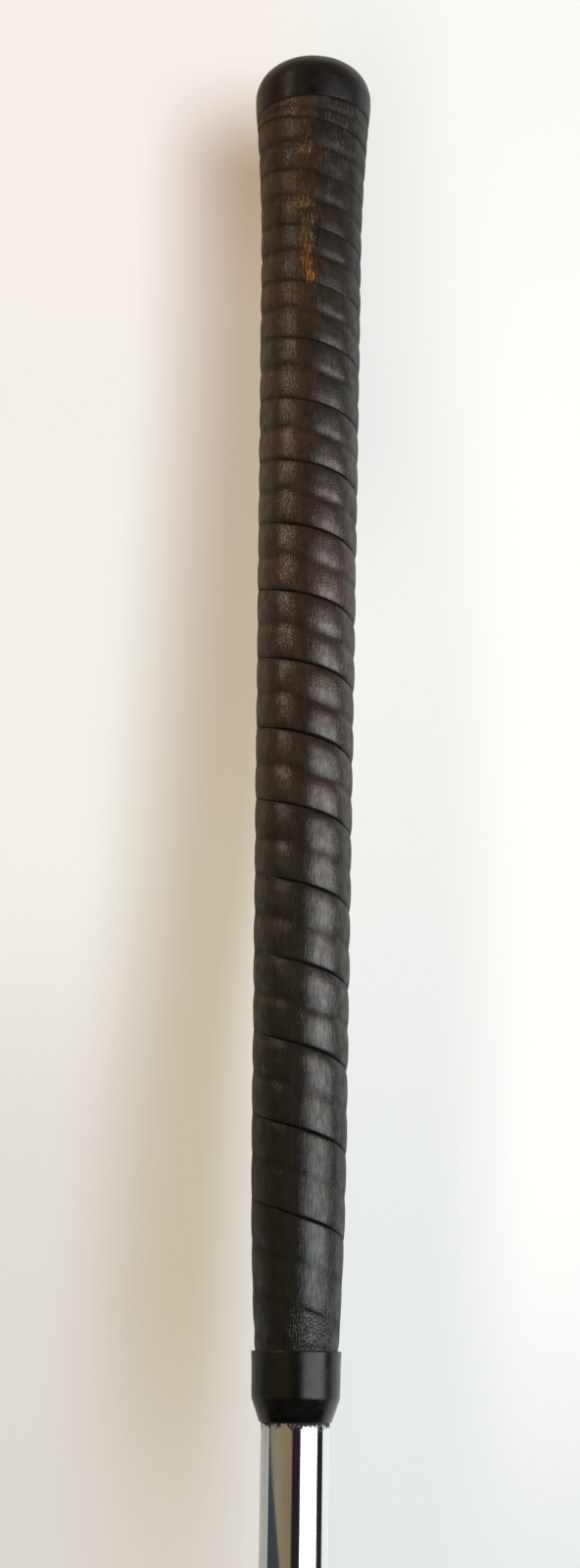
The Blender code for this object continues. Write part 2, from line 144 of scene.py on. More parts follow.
# Camera
LENS = 54.0
CAMERA_DISTANCE = 520.6 * MM
CAMERA_TILT = math.radians(14.04)
CAMERA_ROLL = math.radians(0.866)
CAMERA_LEFT = 3.2 * MM
CAMERA_DROP = 300.14 * MM


# ---------------------------------------------------------------- node helpers


class Graph:
    """Short calls for building a node tree."""

    def __init__(self, tree):
        self.tree = tree

    def node(self, kind, inputs=None, **settings):
        made = self.tree.nodes.new(kind)
        for name, value in settings.items():
            setattr(made, name, value)
        for name, value in (inputs or {}).items():
            self.feed(made.inputs[name], value)
        return made

    def feed(self, socket, value):
        if isinstance(value, bpy.types.NodeSocket):
            self.tree.links.new(value, socket)
        else:
            socket.default_value = value

    def math(self, operation, first, second=0.0, third=0.0, clamp=False):
        inputs = {0: first, 1: second, 2: third}
        return self.node("ShaderNodeMath", inputs, operation=operation, use_clamp=clamp).outputs[0]

    def vector_math(self, operation, first, second):
        inputs = {0: first, 1: second}
        return self.node("ShaderNodeVectorMath", inputs, operation=operation).outputs[0]

    def scaled(self, vector, factors):
        return self.vector_math("MULTIPLY", vector, factors)

    def mix(self, share, first, second, blend="MIX"):
        inputs = {0: share, 6: first, 7: second}
        made = self.node("ShaderNodeMix", inputs, data_type="RGBA", blend_type=blend)
        return made.outputs[2]

    def blend_value(self, share, first, second):
        made = self.node("ShaderNodeMix", {0: share, 2: first, 3: second}, data_type="FLOAT")
        return made.outputs[0]

    def span(self, value, low, high, to_low=0.0, to_high=1.0):
        """Maps low..high to to_low..to_high smoothly and holds the ends."""
        made = self.node(
            "ShaderNodeMapRange",
            {0: value, 1: low, 2: high, 3: to_low, 4: to_high},
            interpolation_type="SMOOTHSTEP",
        )
        return made.outputs[0]

    def bump_shape(self, value, centre, half_width, soft):
        """One inside centre +- half_width, falling to zero over soft."""
        away = self.math("ABSOLUTE", self.math("SUBTRACT", value, centre))
        return self.span(away, half_width, half_width + soft, 1.0, 0.0)

    def grey(self, value):
        return self.node("ShaderNodeCombineColor", {0: value, 1: value, 2: value}).outputs[0]

    def ramp(self, value, stops):
        made = self.node("ShaderNodeValToRGB", {0: value})
        elements = made.color_ramp.elements
        elements[0].position, elements[0].color = stops[0][0], (*stops[0][1], 1.0)
        elements[1].position, elements[1].color = stops[-1][0], (*stops[-1][1], 1.0)
        for place, colour in stops[1:-1]:
            elements.new(place).color = (*colour, 1.0)
        return made.outputs[0]

    def noise(self, vector, scale=1.0, detail=3.0, roughness=0.55, distortion=0.0):
        inputs = {
            "Vector": vector,
            "Scale": scale,
            "Detail": detail,
            "Roughness": roughness,
            "Distortion": distortion,
        }
        return self.node("ShaderNodeTexNoise", inputs).outputs[0]

    def cracks(self, vector, scale=1.0, randomness=1.0):
        inputs = {"Vector": vector, "Scale": scale, "Randomness": randomness}
        made = self.node("ShaderNodeTexVoronoi", inputs, feature="DISTANCE_TO_EDGE")
        return made.outputs["Distance"]

    def bump(self, height, distance_mm, strength=1.0, normal=None):
        inputs = {"Height": height, "Distance": distance_mm * MM, "Strength": strength}
        if normal is not None:
            inputs["Normal"] = normal
        return self.node("ShaderNodeBump", inputs).outputs[0]

    def attribute(self, name):
        return self.node("ShaderNodeAttribute", attribute_name=name).outputs["Fac"]


def new_material(name):
    """A material with a Principled shader, and the graph that feeds it."""
    made = bpy.data.materials.new(name)
    made.use_nodes = True
    return made, Graph(made.node_tree), made.node_tree.nodes["Principled BSDF"]


def club_coordinates(graph):
    """Position in mm, distance below the datum in mm, turn from the front in degrees, and radius."""
    position = graph.node("ShaderNodeTexCoord").outputs["Object"]
    position = graph.scaled(position, (1000.0, 1000.0, 1000.0))
    parts = graph.node("ShaderNodeSeparateXYZ", {0: position}).outputs
    below = graph.math("SUBTRACT", DATUM_Z / MM, parts[2])
    forward = graph.math("MULTIPLY", parts[1], -1.0)
    turn = graph.math("ARCTAN2", parts[0], forward)
    turn = graph.math("MULTIPLY", turn, 180 / math.pi)
    return position, below, turn


def set_shader(graph, shader, colour, roughness, normal=None, **others):
    graph.feed(shader.inputs["Base Color"], colour)
    graph.feed(shader.inputs["Roughness"], roughness)
    if normal is not None:
        graph.feed(shader.inputs["Normal"], normal)
    for name, value in others.items():
        graph.feed(shader.inputs[name.replace("_", " ")], value)


# ---------------------------------------------------------------- materials


def leather_dye(graph, position, below, turn):
    """Reddish brown in the upper grip, black on its right side and below, with soft uneven stains."""
    share = graph.math("DIVIDE", below, LEATHER_LENGTH / MM)
    dye = graph.ramp(
        share,
        [
            (0.0, (0.078, 0.041, 0.021)),
            (0.12, (0.066, 0.032, 0.013)),
            (0.26, (0.049, 0.0235, 0.0130)),
            (0.42, (0.050, 0.0220, 0.0140)),
            (0.55, (0.033, 0.0165, 0.0115)),
            (0.63, (0.0165, 0.0140, 0.0105)),
            (0.76, (0.0125, 0.0130, 0.0098)),
            (1.0, (0.0100, 0.0108, 0.0088)),
        ],
    )
    panel = graph.node("ShaderNodeTexWhiteNoise", {"W": graph.attribute("panel")}, noise_dimensions="1D")
    shade = graph.span(panel.outputs["Value"], 0.0, 1.0, 0.7, 1.2)
    dye = graph.mix(1.0, dye, graph.grey(shade), "MULTIPLY")
    ragged = graph.noise(graph.scaled(position, (0.35, 0.35, 0.16)), 1.0, 5.0, 0.7)
    right = graph.math("ADD", turn, graph.span(ragged, 0.25, 0.75, -22.0, 22.0))
    right = graph.math("MULTIPLY", graph.span(right, 2.0, 14.0), graph.span(right, 150.0, 170.0, 1.0, 0.0))
    right = graph.math("MULTIPLY", right, graph.span(below, 78.0, 120.0, 0.85, 0.0))
    dye = graph.mix(right, dye, (0.011, 0.011, 0.010, 1.0))
    mottle = graph.noise(graph.scaled(position, (0.22, 0.22, 0.15)), 1.0, 4.0, 0.6, 0.4)
    return graph.mix(graph.span(mottle, 0.44, 0.7, 0.0, 0.6), dye, (0.010, 0.008, 0.006, 1.0))


def leather_wear(graph, position, below, turn):
    """How far the dye is scratched off: a ragged stripe under the cap, densest at three places."""
    scratch = graph.noise(graph.scaled(position, (3.6, 3.6, 0.42)), 1.0, 5.0, 0.8, 0.7)
    wander = graph.noise(graph.scaled(position, (0.0, 0.0, 0.07)), 1.0, 2.0)
    wander = graph.math("ADD", graph.span(wander, 0.3, 0.7, -4.0, 4.0), graph.span(below, 18.0, 42.0, -13.0, -1.0))
    off_stripe = graph.math("ABSOLUTE", graph.math("SUBTRACT", turn, wander))
    stripe = graph.span(off_stripe, 4.0, 17.0, 1.0, 0.0)
    stripe = graph.math("MULTIPLY", stripe, graph.span(below, 50.0, 55.0, 0.095, 0.0))
    for place, length, turned, width, strength in (
        (6.0, 5.0, -21.0, 7.0, 0.15),
        (16.3, 2.8, -9.0, 17.0, 0.18),
        (30.2, 2.8, -13.0, 22.0, 0.175),
        (41.0, 13.0, -6.0, 14.0, 0.165),
        (49.3, 2.8, -2.0, 9.0, 0.215),
    ):
        along = graph.bump_shape(below, place, length * 0.25, length)
        around = graph.bump_shape(turn, turned, width * 0.25, width * 0.9)
        spot = graph.math("MULTIPLY", graph.math("MULTIPLY", along, around), strength)
        stripe = graph.math("MAXIMUM", stripe, spot)
    return graph.span(graph.math("ADD", scratch, stripe), 0.668, 0.7)


def leather_material():
    """Dyed calfskin polished by hands: brown above, near black below, rubbed through to tan at the top."""
    made, graph, shader = new_material("worn_leather")
    position, below, turn = club_coordinates(graph)
    openness = graph.attribute("openness")
    dye = leather_dye(graph, position, below, turn)

    streak = graph.noise(graph.scaled(position, (1.7, 1.7, 0.2)), 1.0, 5.0, 0.65)
    rubbed = graph.math("MULTIPLY", graph.span(streak, 0.5, 0.72), graph.span(below, 150.0, 235.0, 1.0, 0.15))
    dye = graph.mix(graph.math("MULTIPLY", rubbed, 0.4), dye, (0.085, 0.042, 0.021, 1.0))
    fibre = graph.noise(graph.scaled(position, (4.2, 4.2, 0.32)), 1.0, 3.0, 0.7)
    dye = graph.mix(1.0, dye, graph.grey(graph.span(fibre, 0.34, 0.66, 0.7, 1.32)), "MULTIPLY")
    worn = leather_wear(graph, position, below, turn)
    worn = graph.math("MULTIPLY", worn, graph.span(below, 51.6, 53.0, 1.0, 0.0))
    fleck = graph.noise(graph.scaled(position, (2.6, 2.6, 1.6)), 1.0, 3.0, 0.7)
    tan = graph.mix(graph.span(fleck, 0.42, 0.62), (0.22, 0.13, 0.045, 1.0), (0.62, 0.43, 0.14, 1.0))
    pale = graph.math("MULTIPLY", graph.span(below, 7.0, 12.0, 1.0, 0.0), graph.span(fleck, 0.42, 0.6))
    tan = graph.mix(pale, tan, (0.62, 0.5, 0.34, 1.0))
    fiery = graph.math("MULTIPLY", graph.span(below, 36.0, 48.0), graph.span(fleck, 0.4, 0.55))
    tan = graph.mix(fiery, tan, (0.78, 0.27, 0.035, 1.0))
    dye = graph.mix(graph.math("MULTIPLY", worn, 0.9), dye, tan)

    # Pale dry scratches beside the stripe, which also paint the streaky reflection of the softbox where the coat is
    # dulled.
    dry_scratch_sheen = graph.noise(graph.scaled(position, (2.8, 2.8, 0.22)), 1.0, 3.0, 0.7, 0.5)
    dry_scratch_sheen = graph.math("MULTIPLY", graph.span(dry_scratch_sheen, 0.56, 0.66), graph.bump_shape(turn, 34.0, 20.0, 14.0))
    dry_scratch_sheen = graph.math("MULTIPLY", dry_scratch_sheen, graph.span(below, 16.0, 40.0, 1.0, 0.0))
    # Mixes in the pale scratches: partly real wear, partly a painted reflection of the softbox.
    dye = graph.mix(graph.math("MULTIPLY", dry_scratch_sheen, 0.7), dye, (0.16, 0.14, 0.155, 1.0))

    # Grime in the open seams, and painted shade in a soft band along every seam and in the pressed creases.
    seam_dirt = graph.span(graph.attribute("edge_mm"), 0.05, 0.5, 1.0, 0.0)
    seam_dirt = graph.math("MULTIPLY", seam_dirt, graph.span(openness, 0.1, 0.6))
    painted_crease_shade = graph.span(graph.attribute("crease_mm"), 0.1, 1.6, 0.5, 0.0)
    painted_seam_shade = graph.span(graph.attribute("edge_mm"), 0.1, 1.4, 0.55, 0.0)
    seam_grime_and_shade = graph.math("MAXIMUM", seam_dirt, graph.math("MAXIMUM", painted_crease_shade, painted_seam_shade))
    # Darkens the dye with the seam grime and with the painted shade of seams and creases.
    dye = graph.mix(graph.math("MULTIPLY", seam_grime_and_shade, 0.7), dye, (0.006, 0.005, 0.005, 1.0))

    # Crackle where the skived tail meets the collar.
    tail = graph.math("MULTIPLY", graph.span(below, 283.0, 290.0), graph.bump_shape(turn, 40.0, 45.0, 30.0))
    crackle = graph.cracks(graph.scaled(position, (1.5, 1.5, 1.1)), 1.0)
    crack_lines = graph.math("MULTIPLY", graph.span(crackle, 0.0, 0.16, 1.0, 0.0), tail)
    raised = graph.math("MULTIPLY", graph.span(crackle, 0.25, 0.45), tail)
    dye = graph.mix(graph.math("MULTIPLY", raised, 0.3), dye, (0.05, 0.045, 0.04, 1.0))
    dye = graph.mix(graph.math("MULTIPLY", crack_lines, 0.8), dye, (0.004, 0.004, 0.004, 1.0))

    grain = graph.noise(graph.scaled(position, (4.2, 4.2, 2.2)), 1.0, 4.0, 0.6)
    pores = graph.cracks(graph.scaled(position, (2.4, 2.4, 1.5)), 1.0)
    wrinkles = graph.noise(graph.scaled(position, (2.1, 2.1, 0.26)), 1.0, 5.0, 0.65)
    height = graph.math("MULTIPLY", grain, 0.55)
    height = graph.math("ADD", height, graph.math("MULTIPLY", graph.span(pores, 0.0, 0.2), 0.3))
    height = graph.math("ADD", height, graph.math("MULTIPLY", wrinkles, 1.9))
    height = graph.math("SUBTRACT", height, graph.math("MULTIPLY", crack_lines, 1.5))
    height = graph.math("SUBTRACT", height, graph.math("MULTIPLY", worn, 0.5))
    normal = graph.bump(height, 0.12, 0.7)

    cloud = graph.noise(graph.scaled(position, (0.5, 0.5, 0.3)), 1.0, 4.0)
    rough = graph.span(cloud, 0.3, 0.7, 0.40, 0.56)
    rough = graph.math("ADD", rough, graph.math("MULTIPLY", seam_grime_and_shade, 0.15))
    coat = graph.span(cloud, 0.3, 0.72, 1.0, 0.6)
    facing = graph.node("ShaderNodeLayerWeight", {"Blend": 0.5}).outputs["Facing"]
    coat = graph.math("MULTIPLY", coat, graph.span(facing, 0.35, 0.9, 1.0, 0.35))
    coat = graph.math("MULTIPLY", coat, graph.span(below, 25.0, 100.0, 0.5, 1.0))
    pulled = graph.noise(graph.scaled(position, (2.7, 2.7, 0.3)), 1.0, 4.0, 0.7)
    coat = graph.math("MULTIPLY", coat, graph.span(pulled, 0.34, 0.62, 0.55, 1.0))
    dull_side = graph.math("MULTIPLY", graph.bump_shape(turn, 30.0, 18.0, 14.0), graph.span(below, 22.0, 62.0, 0.6, 0.0))
    coat = graph.math("MULTIPLY", coat, graph.math("SUBTRACT", 1.0, dull_side))
    coat = graph.math("MULTIPLY", coat, graph.span(below, 215.0, 262.0, 1.0, 0.72))
    dull_low = graph.math("MULTIPLY", graph.bump_shape(turn, -24.0, 9.0, 6.0), graph.span(below, 170.0, 222.0, 0.0, 0.4))
    coat = graph.math("MULTIPLY", coat, graph.math("SUBTRACT", 1.0, dull_low))
    coat = graph.math("MULTIPLY", coat, graph.math("SUBTRACT", 1.0, graph.math("MULTIPLY", seam_grime_and_shade, 0.6)))
    coat = graph.math("MULTIPLY", coat, graph.math("SUBTRACT", 1.0, graph.math("MULTIPLY", worn, 0.8)))
    coat_rough = graph.span(cloud, 0.25, 0.75, 0.07, 0.16)
    coat_normal = graph.bump(height, 0.1, 0.36)
    set_shader(graph, shader, dye, rough, normal, Specular_IOR_Level=0.16, Coat_Weight=coat, Coat_Roughness=coat_rough)
    graph.feed(shader.inputs["Coat IOR"], 1.85)
    graph.feed(shader.inputs["Coat Normal"], coat_normal)
    return made


def plastic_material(name, colour, rough_low, rough_high, gloss=0.5, scuff=0.4, streak_axis=(0.35, 0.35, 0.35)):
    """Moulded black plastic with fine scuffs and a handled sheen."""
    made, graph, shader = new_material(name)
    position, below, turn = club_coordinates(graph)
    cloud = graph.noise(graph.scaled(position, streak_axis), 1.0, 5.0, 0.6)
    fine = graph.noise(graph.scaled(position, (3.0, 3.0, 9.0)), 1.0, 3.0, 0.6)
    scratches = graph.noise(graph.scaled(position, (0.6, 0.6, 14.0)), 1.0, 2.0, 0.5, 0.8)
    scratched = graph.span(scratches, 0.62, 0.7, 0.0, scuff)
    worn = tuple(c * 2.6 + 0.002 for c in colour)
    tone = graph.mix(graph.span(cloud, 0.4, 0.75, 0.0, 0.5), (*colour, 1.0), (*worn, 1.0))
    tone = graph.mix(graph.math("MULTIPLY", scratched, 0.3), tone, (0.05, 0.05, 0.05, 1.0))
    rough = graph.span(cloud, 0.3, 0.7, rough_low, rough_high)
    rough = graph.math("ADD", rough, graph.math("MULTIPLY", scratched, 0.2))
    height = graph.math("ADD", graph.math("MULTIPLY", fine, 0.6), graph.math("MULTIPLY", cloud, 2.0))
    height = graph.math("SUBTRACT", height, scratched)
    set_shader(graph, shader, tone, rough, graph.bump(height, 0.02, 0.5), Specular_IOR_Level=gloss)
    return made


def chrome_material():
    """Bright chrome plate with hairline scratches, faint pits, and grime against the collar."""
    made, graph, shader = new_material("bright_chrome")
    position, below, turn = club_coordinates(graph)
    collar_low = (DATUM_Z - COLLAR_LOW_Z) / MM
    hairlines = graph.noise(graph.scaled(position, (5.0, 5.0, 0.12)), 1.0, 4.0, 0.7)
    smears = graph.noise(graph.scaled(position, (0.25, 0.25, 0.05)), 1.0, 4.0, 0.6)
    pits = graph.cracks(graph.scaled(position, (0.9, 0.9, 0.6)), 1.0)
    pitted = graph.math("MULTIPLY", graph.span(pits, 0.0, 0.03, 1.0, 0.0), graph.span(smears, 0.55, 0.7))
    from_collar = graph.math("SUBTRACT", below, collar_low)
    ragged = graph.noise(graph.scaled(position, (1.1, 1.1, 0.5)), 1.0, 5.0, 0.7)
    reach = graph.span(ragged, 0.35, 0.75, 0.15, 2.3)
    grime = graph.span(graph.math("SUBTRACT", from_collar, reach), -0.25, 0.3, 1.0, 0.0)
    tone = graph.mix(graph.span(smears, 0.4, 0.75, 0.0, 0.4), (0.80, 0.81, 0.83, 1.0), (0.66, 0.66, 0.66, 1.0))
    tone = graph.mix(graph.math("MULTIPLY", pitted, 0.5), tone, (0.22, 0.17, 0.12, 1.0))
    tone = graph.mix(grime, tone, (0.035, 0.022, 0.014, 1.0))
    rough = graph.span(smears, 0.35, 0.75, 0.035, 0.11)
    rough = graph.math("ADD", rough, graph.span(hairlines, 0.6, 0.75, 0.0, 0.05))
    rough = graph.math("ADD", rough, graph.math("MULTIPLY", grime, 0.6))
    metal = graph.math("SUBTRACT", 1.0, grime)
    set_shader(graph, shader, tone, rough, graph.bump(hairlines, 0.0025, 0.25), Metallic=metal)
    return made


def head_material(to_address):
    """Satin chrome on forged steel: a blasted scoring area, brushed round it, brighter on sole and hosel."""
    made, graph, shader = new_material("forged_satin_chrome")
    place = graph.node("ShaderNodeTexCoord").outputs["Object"]
    mapped = graph.node(
        "ShaderNodeMapping",
        {"Vector": place, "Location": to_address.translation, "Rotation": to_address.to_euler("XYZ")},
        vector_type="POINT",
    ).outputs[0]
    position = graph.scaled(mapped, (1000.0, 1000.0, 1000.0))
    parts = graph.node("ShaderNodeSeparateXYZ", {0: position}).outputs
    out = (0.0, math.cos(LOFT), math.sin(LOFT))
    off_face = graph.node("ShaderNodeVectorMath", {0: position, 1: out}, operation="DOT_PRODUCT").outputs["Value"]
    off_face = graph.math("SUBTRACT", off_face, FACE_Y * math.cos(LOFT) / MM)
    on_face = graph.bump_shape(off_face, 0.0, 0.5, 0.15)
    scored = graph.math("MULTIPLY", graph.bump_shape(parts[0], 39.5, 24.6, 0.3), on_face)
    in_groove = graph.math("MULTIPLY", graph.span(off_face, -0.22, -0.05, 1.0, 0.0), scored)

    brushed = graph.noise(graph.scaled(position, (0.12, 3.5, 3.5)), 1.0, 4.0, 0.65)
    blotches = graph.noise(graph.scaled(position, (0.09, 0.09, 0.09)), 1.0, 5.0, 0.6)
    nicks = graph.cracks(graph.scaled(position, (0.25, 0.6, 0.5)), 1.0)
    grit = graph.noise(graph.scaled(position, (5.0, 5.0, 5.0)), 1.0, 2.0, 0.6)
    scuffs = graph.noise(graph.scaled(position, (0.25, 2.2, 2.2)), 1.0, 5.0, 0.7, 0.5)
    sole_wear = graph.math("MULTIPLY", graph.span(parts[2], 1.0, 6.0, 1.0, 0.0), graph.span(scuffs, 0.5, 0.66))
    nicked = graph.math("MULTIPLY", graph.span(nicks, 0.0, 0.02, 1.0, 0.0), graph.span(blotches, 0.54, 0.62))
    tone = graph.mix(graph.span(blotches, 0.4, 0.7, 0.0, 0.6), (0.70, 0.71, 0.73, 1.0), (0.55, 0.54, 0.52, 1.0))
    tone = graph.mix(graph.math("MULTIPLY", scored, 0.5), tone, (0.40, 0.40, 0.41, 1.0))
    tone = graph.mix(graph.math("MULTIPLY", in_groove, 0.75), tone, (0.05, 0.045, 0.04, 1.0))
    tone = graph.mix(graph.math("MULTIPLY", sole_wear, 0.5), tone, (0.36, 0.33, 0.30, 1.0))
    tone = graph.mix(graph.math("MULTIPLY", nicked, 0.5), tone, (0.24, 0.2, 0.17, 1.0))
    rough = graph.span(blotches, 0.35, 0.7, 0.13, 0.24)
    rough = graph.math("ADD", rough, graph.span(brushed, 0.45, 0.7, 0.0, 0.08))
    rough = graph.math("ADD", rough, graph.math("MULTIPLY", scored, 0.24))
    rough = graph.math("ADD", rough, graph.math("MULTIPLY", sole_wear, 0.15))
    height = graph.blend_value(scored, graph.math("MULTIPLY", brushed, 0.5), grit)
    height = graph.math("SUBTRACT", height, graph.math("MULTIPLY", nicked, 1.5))
    height = graph.math("SUBTRACT", height, graph.math("MULTIPLY", sole_wear, 0.8))
    set_shader(graph, shader, tone, rough, graph.bump(height, 0.012, 0.5), Metallic=1.0)
    return made


def hidden_material(name, colour, accent, scale, roughness, metallic=0.0):
    """The finish of a piece inside the club: a two-tone grain and its bump."""
    made, graph, shader = new_material(name)
    position, below, turn = club_coordinates(graph)
    grain = graph.noise(graph.scaled(position, scale), 1.0, 5.0, 0.65)
    tone = graph.mix(graph.span(grain, 0.38, 0.66), (*colour, 1.0), (*accent, 1.0))
    rough = graph.span(grain, 0.3, 0.7, roughness - 0.08, roughness + 0.08)
    set_shader(graph, shader, tone, rough, graph.bump(grain, 0.05, 0.6), Metallic=metallic)
    return made


def floor_material():
    """A pale matt floor that fades out far from the club."""
    made, graph, shader = new_material("pale_floor")
    place = graph.node("ShaderNodeTexCoord").outputs["Object"]
    parts = graph.node("ShaderNodeSeparateXYZ", {0: place}).outputs
    flat = graph.node("ShaderNodeCombineXYZ", {0: parts[0], 1: parts[1]}).outputs[0]
    away = graph.node("ShaderNodeVectorMath", {0: flat}, operation="LENGTH").outputs["Value"]
    cloud = graph.noise(graph.scaled(place, (6.0, 6.0, 6.0)), 1.0, 4.0)
    tone = graph.mix(graph.span(cloud, 0.3, 0.7, 0.0, 0.2), (0.80, 0.79, 0.77, 1.0), (0.74, 0.73, 0.71, 1.0))
    set_shader(graph, shader, tone, 0.7, Alpha=graph.span(away, 1.2, 4.2, 1.0, 0.0))
    return made


# ---------------------------------------------------------------- mesh helpers


def add_piece(name, mesh_builder, finish, slot, *stands_for, sharp=35.0):
    bmesh.ops.recalc_face_normals(mesh_builder, faces=mesh_builder.faces[:])
    mesh = bpy.data.meshes.new(name)
    mesh_builder.to_mesh(mesh)
    mesh_builder.free()
    mesh.materials.append(finish)
    mesh.shade_smooth()
    mesh.set_sharp_from_angle(angle=math.radians(sharp))
    made = bpy.data.objects.new(name, mesh)
    bpy.context.scene.collection.objects.link(made)
    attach(made, "root")
    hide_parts(*stands_for)
    return made


def rounded(points, radius, steps=5):
    """A profile whose inner corners are rounded. Each point is (radius, height) or (radius, height, own)."""
    made = [points[0][:2]]
    for before, here, after in zip(points, points[1:], points[2:]):
        corner = Vector(here[:2])
        size = here[2] if len(here) > 2 else radius
        back, ahead = Vector(before[:2]) - corner, Vector(after[:2]) - corner
        size = min(size, back.length * 0.45, ahead.length * 0.45)
        start, end = corner + back.normalized() * size, corner + ahead.normalized() * size
        for step in range(steps + 1):
            share = step / steps
            first, second = start.lerp(corner, share), corner.lerp(end, share)
            made.append(tuple(first.lerp(second, share)))
    made.append(points[-1][:2])
    return made


def turned_mesh(outline, facets, ripple=0.0, ripple_scale=90.0):
    """A solid of revolution about Z from a path with both ends on the axis, or from a closed loop."""
    shape = bmesh.new()
    closed = outline[0][0] > 0
    rows = []
    for radius, height in outline:
        if radius <= 0:
            rows.append([shape.verts.new((0.0, 0.0, height))])
            continue
        row = []
        for index in range(facets):
            angle = math.tau * index / facets
            direction = Vector((math.cos(angle), math.sin(angle), 0.0))
            place = direction * radius + Vector((0.0, 0.0, height))
            lump = noise.noise(place * ripple_scale) * ripple if ripple else 0.0
            row.append(shape.verts.new(place + direction * lump))
        rows.append(row)
    pairs = list(zip(rows, rows[1:]))
    if closed:
        pairs.append((rows[-1], rows[0]))
    for lower, upper in pairs:
        for index in range(facets):
            after = (index + 1) % facets
            corners = [lower[index % len(lower)], lower[after % len(lower)]]
            corners += [upper[after % len(upper)], upper[index % len(upper)]]
            unique = list(dict.fromkeys(corners))
            shape.faces.new(unique)
    return shape


# ---------------------------------------------------------------- grip


def leather_radius(distance):
    """Outer radius of the leather at a distance below the datum: a taper, a flare and a tail."""
    radius = 12.5 * MM - 0.0076 * distance
    flare_length = 32 * MM
    tail_start = 250 * MM
    if distance < flare_length:
        radius += 1.45 * MM * (1 - max(distance, 0.0) / flare_length) ** 1.25
    if distance > tail_start:
        radius -= 1.03 * MM * ((distance - tail_start) / (44 * MM)) ** 2.2
    return radius


def seam_distance(turns):
    """How far below the datum the seam is after a number of turns. The winding opens downwards."""
    return (19.0 + 13.85 * turns + 0.161 * turns * turns) * MM


def seam_openness(turns):
    """One where a seam is crisp. It is filled by wear near the cap and pressed shut near the collar."""
    distance = seam_distance(turns)
    worn = min(max((distance - 25 * MM) / (95 * MM), 0.0), 1.0)
    pressed = min(max((distance - PRESSED_FROM) / (PRESSED_TO - PRESSED_FROM), 0.0), 1.0)
    off_cut = abs(turns - OPEN_CUT_MIDDLE) / OPEN_CUT_HALF_WIDTH
    cut = max(0.0, 1 - off_cut**4)
    uneven = 0.54 + 0.42 * noise.noise(Vector((turns * 3.1, 7.7, 0.0))) + 0.46 * math.sin(math.tau * (turns - 0.15))
    return max((0.12 + 0.88 * worn) * (1 - pressed) * min(max(uneven, 0.15), 1.0), cut * 0.4)


def strip_depth(along, width, upper_open, lower_open, puff):
    """How far the strip's surface lies below its crown: two pillows with a crease between, and its edges."""
    share = along / width
    within = abs(2 * ((2 * share) % 1.0) - 1)
    depth = PILLOW_DEPTH * puff * within**PILLOW_POWER
    if abs(share - 0.5) < 0.06:
        depth -= 0.35 * PILLOW_DEPTH * puff * (1 - abs(share - 0.5) / 0.06) ** 2
    for edge, openness in ((along, upper_open), (width - along, lower_open)):
        if edge < SEAM_HALF_WIDTH:
            lip = 1 - edge / SEAM_HALF_WIDTH
            depth += SEAM_DEPTH * openness * lip * lip
        if edge < 2 * MM:
            depth -= 0.6 * PILLOW_DEPTH * puff * (1 - openness) * (1 - edge / (2 * MM)) ** 2
    return depth - LAP * (share - 0.5) * min(upper_open, lower_open)


